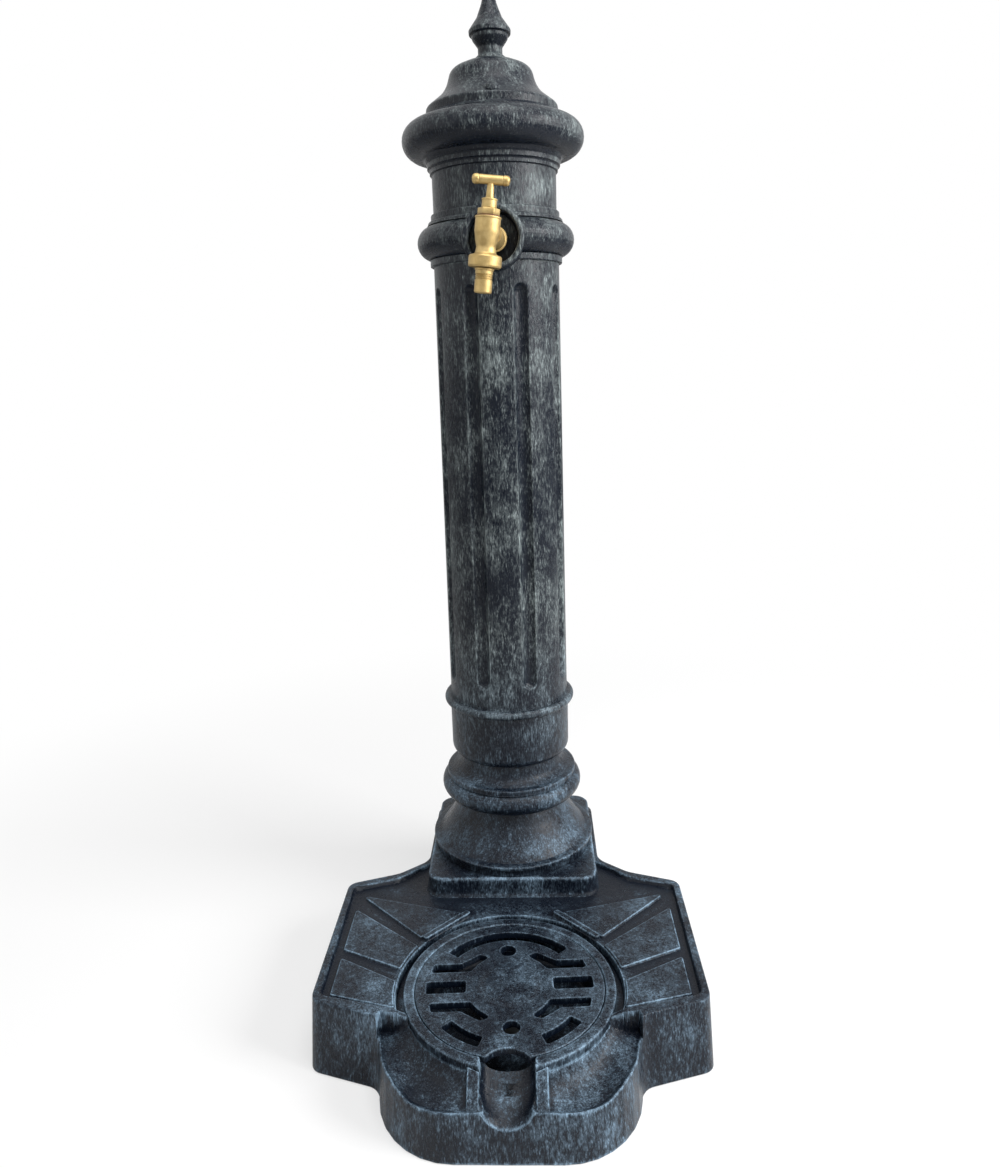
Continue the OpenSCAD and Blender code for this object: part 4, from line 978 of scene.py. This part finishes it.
# Camera, fitted to the column's rings
DISTANCE, HEIGHT = 1036.05, 714.6
AROUND, YAW, PITCH, ROLL = (math.radians(v) for v in (1.891, 0.4075, 14.631, -1.8096))
FOCAL_PX, IMAGE_H_PX, SENSOR_H = 871.47, 1168, 36
eye = np.array([DISTANCE * math.sin(AROUND), COLUMN[1] - DISTANCE * math.cos(AROUND), HEIGHT])
heading = AROUND + YAW
ahead = np.array([
    -math.sin(heading) * math.cos(PITCH), math.cos(heading) * math.cos(PITCH), -math.sin(PITCH)])
level = np.array([math.cos(heading), math.sin(heading), 0])
upright = np.cross(level, ahead)
right = level * math.cos(ROLL) + upright * math.sin(ROLL)
up = -level * math.sin(ROLL) + upright * math.cos(ROLL)
lens = bpy.data.cameras.new("camera")
lens.sensor_fit = "VERTICAL"
lens.sensor_height = SENSOR_H
lens.lens = SENSOR_H * FOCAL_PX / IMAGE_H_PX
lens.clip_end = 50
camera = bpy.data.objects.new("camera", lens)
pose = np.eye(4)
pose[:3] = np.column_stack([right, up, -ahead, eye * MM])
camera.matrix_world = Matrix(pose.tolist())
bpy.context.collection.objects.link(camera)
bpy.context.scene.camera = camera

# Floor, which the camera sees as white away from the object and with its shadow near it
FLOOR_HALF, FLOOR_DROP = 30, 0.0005
corners = [(FLOOR_HALF * x, FLOOR_HALF * y, -FLOOR_DROP) for x, y in ((-1, -1), (1, -1), (1, 1), (-1, 1))]
floor_mesh = bpy.data.meshes.new("floor")
floor_mesh.from_pydata(corners, [], [(0, 1, 2, 3)])
ground = bpy.data.objects.new("floor", floor_mesh)
bpy.context.collection.objects.link(ground)
pale = bpy.data.materials.new("floor")
pale.use_nodes = True
tree = pale.node_tree
matte = tree.nodes["Principled BSDF"]
matte.inputs["Base Color"].default_value = (0.9, 0.9, 0.9, 1)
matte.inputs["Roughness"].default_value = 1
seen = Wire(tree, None).node("ShaderNodeLightPath")
glow = seen.node("ShaderNodeEmission", Color=(1, 1, 1, 1), Strength=1.0)
place = seen.node("ShaderNodeTexCoord", out=3)
away = seen.node("ShaderNodeVectorMath", {"operation": "LENGTH"}, out=1, in0=place).step(0.45, 1.3)
mixed = seen.node("ShaderNodeMixShader",
                  in0=seen * (away * 0.4 + 0.6), in1=Wire(tree, matte.outputs[0]), in2=glow)
tree.links.new(mixed.out, tree.nodes["Material Output"].inputs["Surface"])
floor_mesh.materials.append(pale)

# World, white to the camera, in reflections and through glass, and dimmer as a light
AMBIENT = 0.22
world = bpy.data.worlds.new("world")
bpy.context.scene.world = world
world.use_nodes = True
tree = world.node_tree
rays = Wire(tree, None).node("ShaderNodeLightPath").out.node.outputs
to_camera, through, shiny = (
    Wire(tree, rays[kind]) for kind in ("Is Camera Ray", "Is Transmission Ray", "Is Glossy Ray"))
strength = (to_camera + through + shiny).step(0, 1) * (1 - AMBIENT) + AMBIENT
background = tree.nodes["Background"]
background.inputs["Color"].default_value = (1, 1, 1, 1)
tree.links.new(strength.out, background.inputs["Strength"])


def lamp(name, place, aim, width, height, watts):
    """Soft light panel at a place in metres, aimed at a point."""
    data = bpy.data.lights.new(name, "AREA")
    data.shape, data.size, data.size_y, data.energy = "RECTANGLE", width, height, watts
    made = bpy.data.objects.new(name, data)
    back = np.array(place, float) - np.array(aim, float)
    back /= np.linalg.norm(back)
    level = np.cross([0, 0, 1], back)
    level /= np.linalg.norm(level)
    matrix = np.eye(4)
    matrix[:3] = np.column_stack([level, np.cross(back, level), back, place])
    made.matrix_world = Matrix(matrix.tolist())
    bpy.context.collection.objects.link(made)


lamp("key", (1.85, -0.6, 1.4), (0, 0.14, 0.8), 1.1, 1.2, 72)
lamp("fill", (-2.2, -1.0, 1.4), (0, 0.05, 0.5), 1.4, 1.4, 7)
lamp("top", (0.4, -0.8, 2.9), (0, 0, 0.4), 1.3, 1.3, 46)
bpy.context.scene.view_settings.view_transform = "Standard"

bpy.context.view_layer.update()
